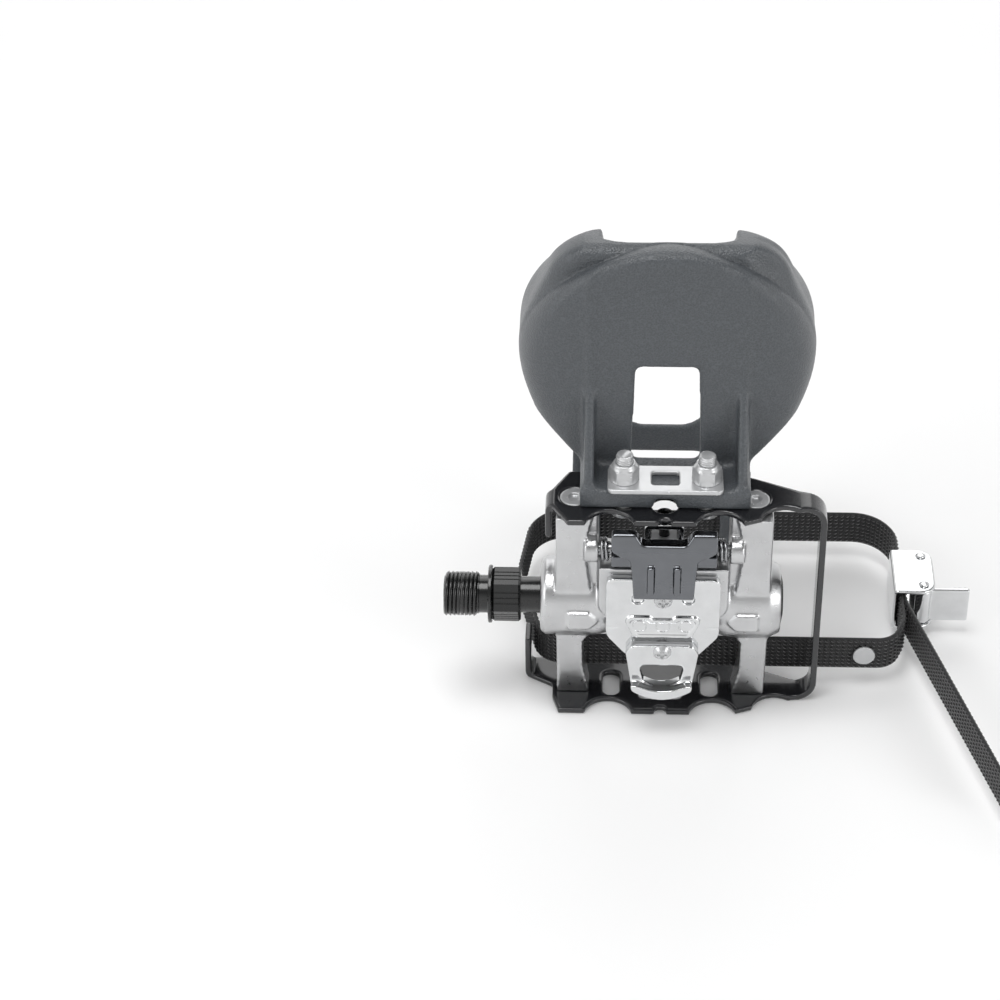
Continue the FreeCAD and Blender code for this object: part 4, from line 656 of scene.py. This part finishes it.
class PEDAL_OT_fasteners(bpy.types.Operator):
    """Round the screws, nuts and rivet, and thread the clip bolts"""
    bl_idname = "pedal.fasteners"
    bl_label = "Fasteners"

    def execute(self, context):
        for node in ("cage_screws", "clip_nuts", "strap_rivet", "clip_backing_plate", "binding_screws"):
            stand_in(node, softened(node))
        for node in ("tension_screw", "jaw_pin"):
            stand_in(node, broken_edges(node, sizes().edge * FINE_EDGE))
        self.bolts()
        return {"FINISHED"}

    def bolts(self):
        """Two bolts, threaded above their nuts."""
        low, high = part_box("clip_bolts")
        nut_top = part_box("clip_nuts")[1][2]
        rise = high[2] - nut_top - sizes().edge
        middle = [(a + b) / 2 for a, b in zip(low, high)]
        tree = thread_tree()
        meshes = [broken_edges("clip_bolts", sizes().edge)]
        for side in (-1, 1):
            start = (middle[0] + side * BOLT_SPACING / 2, middle[1], nut_top)
            meshes.append(grown(tree, {
                "Turns": rise / BOLT_PITCH, "Radius": BOLT_RADIUS, "Height": rise, "Depth": BOLT_RIDGE,
                "Turn": (0, 0, 0), "Start": start, "Material": finish_of(SLOT_OF["clip_bolts"])}))
        stand_in("clip_bolts", join("clip_bolts", meshes))


class PEDAL_OT_buckle(bpy.types.Operator):
    """Round the edges of the buckle's pieces"""
    bl_idname = "pedal.buckle"
    bl_label = "Buckle"

    def execute(self, context):
        for node in ("buckle_frame", "buckle_lever"):
            stand_in(node, softened(node))
        for node in ("buckle_roller", "buckle_pins"):
            stand_in(node, broken_edges(node, sizes().edge, 3))
        return {"FINISHED"}


class PEDAL_OT_spindle(bpy.types.Operator):
    """Turn the spindle with its crank thread, collar and grooved wrench flats"""
    bl_idname = "pedal.spindle"
    bl_label = "Spindle"

    def execute(self, context):
        work = bmesh.new()
        self.turned(work)
        self.wrench_flats(work)
        core = mesh_from(work, "spindle", SPINDLE_ANGLE)
        low, high = THREAD_SPAN
        run = (high - low) * MM
        depth = sizes().thread_depth
        thread = grown(thread_tree(), {
            "Turns": run / sizes().thread_pitch, "Radius": THREAD_RADIUS * MM - depth, "Height": run,
            "Depth": depth, "Turn": (0, math.pi / 2, 0), "Start": (low * MM, 0, 0),
            "Material": finish_of(SLOT_OF["spindle"])})
        stand_in("spindle", join("spindle", [core, thread]))
        return {"FINISHED"}

    def turned(self, work):
        """The profile of stations and radii, turned about the X axis."""
        rings = []
        for x, radius in SPINDLE_PROFILE:
            count = SPINDLE_STEPS if radius else 1
            angles = [2 * math.pi * i / count for i in range(count)]
            points = [(x * MM, radius * MM * math.cos(a), radius * MM * math.sin(a)) for a in angles]
            rings.append([work.verts.new(point) for point in points])
        skin(work, rings)

    def wrench_flats(self, work):
        """The grooved hexagon, chamfered at both ends."""
        start, end = WRENCH_SPAN
        stations = ((start, WRENCH_TAPER), (start + WRENCH_CHAMFER, 1),
                    (end - WRENCH_CHAMFER, 1), (end, WRENCH_TAPER))
        section = self.grooved_hexagon()
        rings = []
        for x, scale in stations:
            rings.append([work.verts.new((x * MM, p.x * scale * MM, p.y * scale * MM)) for p in section])
        skin(work, rings)
        work.faces.new(rings[0])
        work.faces.new(rings[-1])

    def grooved_hexagon(self):
        """Points round a hexagon's section, with fine grooves along each flat."""
        radius = WRENCH_FLATS / math.sqrt(3)
        turns = [math.radians(360 / WRENCH_SIDES * i) for i in range(WRENCH_SIDES + 1)]
        corners = [Vector((math.cos(turn), math.sin(turn))) * radius for turn in turns]
        points = []
        for a, b in zip(corners, corners[1:]):
            along = (b - a).normalized()
            inward = -((a + b) / 2).normalized()
            points.append(a)
            for share in GROOVE_SHARES:
                middle = a.lerp(b, share)
                for step, sink in GROOVE_SECTION:
                    points.append(middle + along * step * GROOVE_HALF + inward * sink * GROOVE_DEPTH)
        return points


def fade(share):
    """A smooth step from 0 to 1."""
    share = min(max(share, 0), 1)
    return share * share * (3 - 2 * share)


def sole_at(z):
    """Where the clip's leaning sole stands along Y at a height, in millimetres."""
    return SOLE_BACK + (z - SOLE_LOW) * SOLE_LEAN


class PEDAL_OT_toe_clip(bpy.types.Operator):
    """Soften the moulded toe clip, raise its two sole ridges, roll its rim and lower its shoulders"""
    bl_idname = "pedal.toe_clip"
    bl_label = "Toe clip"

    def execute(self, context):
        mesh = merged_copy("toe_clip")
        work = bmesh.new()
        work.from_mesh(mesh)
        for x in RIDGE_PLACES:
            self.ridge(work, x)
        work.to_mesh(mesh)
        work.free()
        mesh = softened("toe_clip", mesh)
        for vertex in mesh.vertices:
            vertex.co += self.drawn_in(vertex.co / MM) * MM
        stand_in("toe_clip", mesh)
        return {"FINISHED"}

    def ridge(self, work, x):
        """One low ridge up the sole, in line with a gusset."""
        low, high = RIDGE_SPAN
        outline = ((-RIDGE_RISE, low), (RIDGE_ROOT, low), (RIDGE_ROOT, high), (-RIDGE_END, high))
        corners = [(sole_at(z) + shift, z) for shift, z in outline]
        sides = []
        for step in (-RIDGE_HALF, RIDGE_HALF):
            sides.append([work.verts.new(((x + step) * MM, y * MM, z * MM)) for y, z in corners])
        near, far = sides
        work.faces.new(near)
        work.faces.new(far[::-1])
        for i in range(len(corners)):
            following = (i + 1) % len(corners)
            work.faces.new([near[following], near[i], far[i], far[following]])

    def drawn_in(self, place):
        """How far a point of the cup moves: in at the rolled rim round the sole, down at the shoulders."""
        out = (place.x - CUP_MIDDLE[0]) / CUP_HALF[0]
        rise = (place.z - CUP_MIDDLE[1]) / CUP_HALF[1]
        away = Vector((out, max(rise, 0))).length
        inside = min(max((1 - away) * CUP_HALF[0], 0), RIM_ROLL)
        roll = RIM_ROLL - math.sqrt(RIM_ROLL ** 2 - (RIM_ROLL - inside) ** 2)
        behind = 1 - fade((place.y - sole_at(place.z)) / RIM_REACH)
        roll *= behind * fade((place.z - SOLE_LOW - RIM_START) / RIM_FADE)
        ahead = fade((place.y - SHOULDER_START[0]) / SHOULDER_FADE[0])
        shoulder = ahead * fade((place.z - SHOULDER_START[1]) / SHOULDER_FADE[1])
        return Vector((0, roll, -roll * fade(rise) * RIM_DROP - SHOULDER_DROP * shoulder))


def bent_line(plan, closed):
    """Points along a plan with its corners bent to their radii, at even steps."""
    corners = [Vector(corner[:2]) for corner in plan]
    count = len(plan)
    points = []
    for i in range(count):
        here, radius = corners[i], plan[i][2]
        if radius == 0:
            points.append(here)
            continue
        before = (corners[i - 1] - here).normalized()
        after = (corners[(i + 1) % count] - here).normalized()
        half = before.angle(after) / 2
        centre = here + (before + after).normalized() * radius / math.sin(half)
        start = here + before * radius / math.tan(half) - centre
        end = here + after * radius / math.tan(half) - centre
        swing = start.angle_signed(end)
        for step in range(BEND_STEPS + 1):
            points.append(centre + Matrix.Rotation(-swing * step / BEND_STEPS, 2) @ start)
    if closed:
        points.append(points[0])
    line = [points[0]]
    for first, second in zip(points, points[1:]):
        pieces = max(1, round((second - first).length / STRAP_STEP))
        line += [first.lerp(second, (k + 1) / pieces) for k in range(pieces)]
    return line[:-1] if closed else line


def strap_line(plan, closed):
    """The middle line of the webbing: points on it and the direction out of its outer face."""
    line = bent_line(plan, closed)
    count = len(line)
    rows = []
    for i, here in enumerate(line):
        last = line[i - 1] if closed or i else here
        following = line[(i + 1) % count] if closed or i < count - 1 else here
        along = (following - last).normalized()
        out = Vector((-along.y, along.x))
        rows.append((here + out * STRAP_SHEET / 2, out))
    return rows


class PEDAL_OT_strap(bpy.types.Operator):
    """Weave the toe strap with its loop, loose end and yarns"""
    bl_idname = "pedal.strap"
    bl_label = "Toe strap"

    def execute(self, context):
        work = bmesh.new()
        seeds = []
        for plan, closed in ((LOOP_PLAN, True), (TAIL_PLAN, False)):
            rows = strap_line(plan, closed)
            self.core(work, rows, closed)
            seeds.append(self.line(rows, closed))
        core = mesh_from(work, "webbing", STRAP_ANGLE)
        step = (STRAP_WIDTH - YARN_MARGIN) * MM / YARN_COUNT
        bead = (STRAP_SHEET * MM + sizes().pick_rise * 2, step, sizes().pick * YARN_OVERLAP)
        values = {
            "Spacing": sizes().pick, "Bead": bead, "Start": (0, -step * (YARN_COUNT - 1) / 2, 0),
            "Step": (0, step, 0), "Count": YARN_COUNT, "Material": finish_of(SLOT_OF["toe_strap"])}
        tree = pick_tree()
        picks = [grown(tree, values, seed) for seed in seeds]
        mesh = join("toe_strap", [core] + picks)
        mesh.shade_smooth()
        mesh.set_sharp_from_angle(angle=STRAP_ANGLE)
        stand_in("toe_strap", mesh)
        return {"FINISHED"}

    def core(self, work, rows, closed):
        """A band with rounded selvedges along a line of points."""
        rings = []
        for here, out in rows:
            points = [((here.x + out.x * u) * MM, (here.y + out.y * u) * MM, (STRAP_LEVEL + v) * MM)
                      for u, v in SELVEDGE]
            rings.append([work.verts.new(point) for point in points])
        skin(work, rings + rings[:1] if closed else rings)
        if not closed:
            work.faces.new(rings[0])
            work.faces.new(rings[-1])

    def line(self, rows, closed):
        """The strap's middle line as a mesh of edges."""
        mesh = bpy.data.meshes.new("strap_line")
        points = [(here.x * MM, here.y * MM, STRAP_LEVEL * MM) for here, out in rows]
        edges = [(i, i + 1) for i in range(len(points) - 1)]
        if closed:
            edges.append((len(points) - 1, 0))
        mesh.from_pydata(points, edges, [])
        return mesh


class PEDAL_OT_stage(bpy.types.Operator):
    """Set the floor, lights, world and camera"""
    bl_idname = "pedal.stage"
    bl_label = "Set stage"

    def execute(self, context):
        scene = context.scene
        scene.view_settings.view_transform = "Standard"
        self.camera(scene)
        self.floor(scene)
        self.lights(scene)
        self.world(scene)
        return {"FINISHED"}

    def camera(self, scene):
        east, north = math.sin(VIEW_AZIMUTH), math.cos(VIEW_AZIMUTH)
        flat = math.cos(VIEW_ELEVATION)
        ahead = Vector((east * flat, north * flat, -math.sin(VIEW_ELEVATION)))
        level = Vector((north, -east, 0))
        above = level.cross(ahead)
        right = level * math.cos(VIEW_ROLL) + above * math.sin(VIEW_ROLL)
        up = above * math.cos(VIEW_ROLL) - level * math.sin(VIEW_ROLL)
        data = bpy.data.cameras.new("view")
        data.sensor_width = SENSOR
        data.lens = VIEW_LENS * SENSOR / PICTURE
        data.clip_end = VIEW_REACH
        camera = bpy.data.objects.new("view", data)
        scene.collection.objects.link(camera)
        turn = Matrix((right, up, -ahead)).transposed().to_4x4()
        camera.matrix_world = Matrix.Translation(VIEW_TARGET - ahead * VIEW_DISTANCE) @ turn
        scene.camera = camera

    # Matt painted board: pale, with a glow that grows far from the pedal so that low views end in white.
    def floor(self, scene):
        mesh = bpy.data.meshes.new("floor")
        corners = [(-FLOOR_HALF, -FLOOR_HALF), (FLOOR_HALF, -FLOOR_HALF),
                   (FLOOR_HALF, FLOOR_HALF), (-FLOOR_HALF, FLOOR_HALF)]
        mesh.from_pydata([(x, y, CAD_BOX[0][2]) for x, y in corners], [], [(0, 1, 2, 3)])
        floor = bpy.data.objects.new("floor", mesh)
        scene.collection.objects.link(floor)
        paint = {"Specular IOR Level": FLOOR_SHINE, "Emission Color": linear(WHITE)}
        material, tree, shader, place = surface("pale_floor", FLOOR_COLOUR, 0.0, 0.9, paint)
        reach = add(tree, "ShaderNodeVectorMath", {"operation": "LENGTH"}, {0: place}).outputs["Value"]
        glow = add(tree, "ShaderNodeMapRange", FLOOR_GLOW, {"Value": reach}).outputs["Result"]
        tree.links.new(glow, shader.inputs["Emission Strength"])
        mesh.materials.append(material)

    def lights(self, scene):
        for name, (place, size, power) in LAMPS.items():
            data = bpy.data.lights.new(name, "AREA")
            data.size = size
            data.energy = power
            lamp = bpy.data.objects.new(name, data)
            scene.collection.objects.link(lamp)
            turn = (LAMP_AIM - Vector(place)).to_track_quat("-Z", "Y").to_matrix().to_4x4()
            lamp.matrix_world = Matrix.Translation(place) @ turn

    def world(self, scene):
        world = bpy.data.worlds.new("studio")
        scene.world = world
        world.use_nodes = True
        tree = world.node_tree
        background = tree.nodes["Background"]
        background.inputs["Color"].default_value = linear(WHITE)
        ray = add(tree, "ShaderNodeTexCoord").outputs["Generated"]
        height = add(tree, "ShaderNodeSeparateXYZ", None, {"Vector": ray}).outputs["Z"]
        level = add(tree, "ShaderNodeMapRange", SKY_LEVEL, {"Value": height}).outputs["Result"]
        tree.links.new(level, background.inputs["Strength"])


class PEDAL_PT_panel(bpy.types.Panel):
    """Lists the dressing steps"""
    bl_idname = "PEDAL_PT_panel"
    bl_label = "Pedal"
    bl_space_type = "VIEW_3D"
    bl_region_type = "UI"
    bl_category = "Pedal"

    def draw(self, context):
        for step in STEPS:
            self.layout.operator(step.bl_idname)


STEPS = (PEDAL_OT_finish_nodes, PEDAL_OT_casting, PEDAL_OT_cage, PEDAL_OT_binding, PEDAL_OT_fasteners,
         PEDAL_OT_buckle, PEDAL_OT_spindle, PEDAL_OT_toe_clip, PEDAL_OT_strap, PEDAL_OT_stage)
CLASSES = (PedalFinishes, PedalSizes) + STEPS + (PEDAL_PT_panel,)


def register():
    for item in CLASSES:
        bpy.utils.register_class(item)
    bpy.types.Scene.pedal_finishes = PointerProperty(type=PedalFinishes)
    bpy.types.Scene.pedal_sizes = PointerProperty(type=PedalSizes)


def unregister():
    del bpy.types.Scene.pedal_sizes
    del bpy.types.Scene.pedal_finishes
    for item in reversed(CLASSES):
        bpy.utils.unregister_class(item)


def main():
    register()
    for step in STEPS:
        group, name = step.bl_idname.split(".")
        getattr(getattr(bpy.ops, group), name)()


if __name__ == "__main__":
    main()
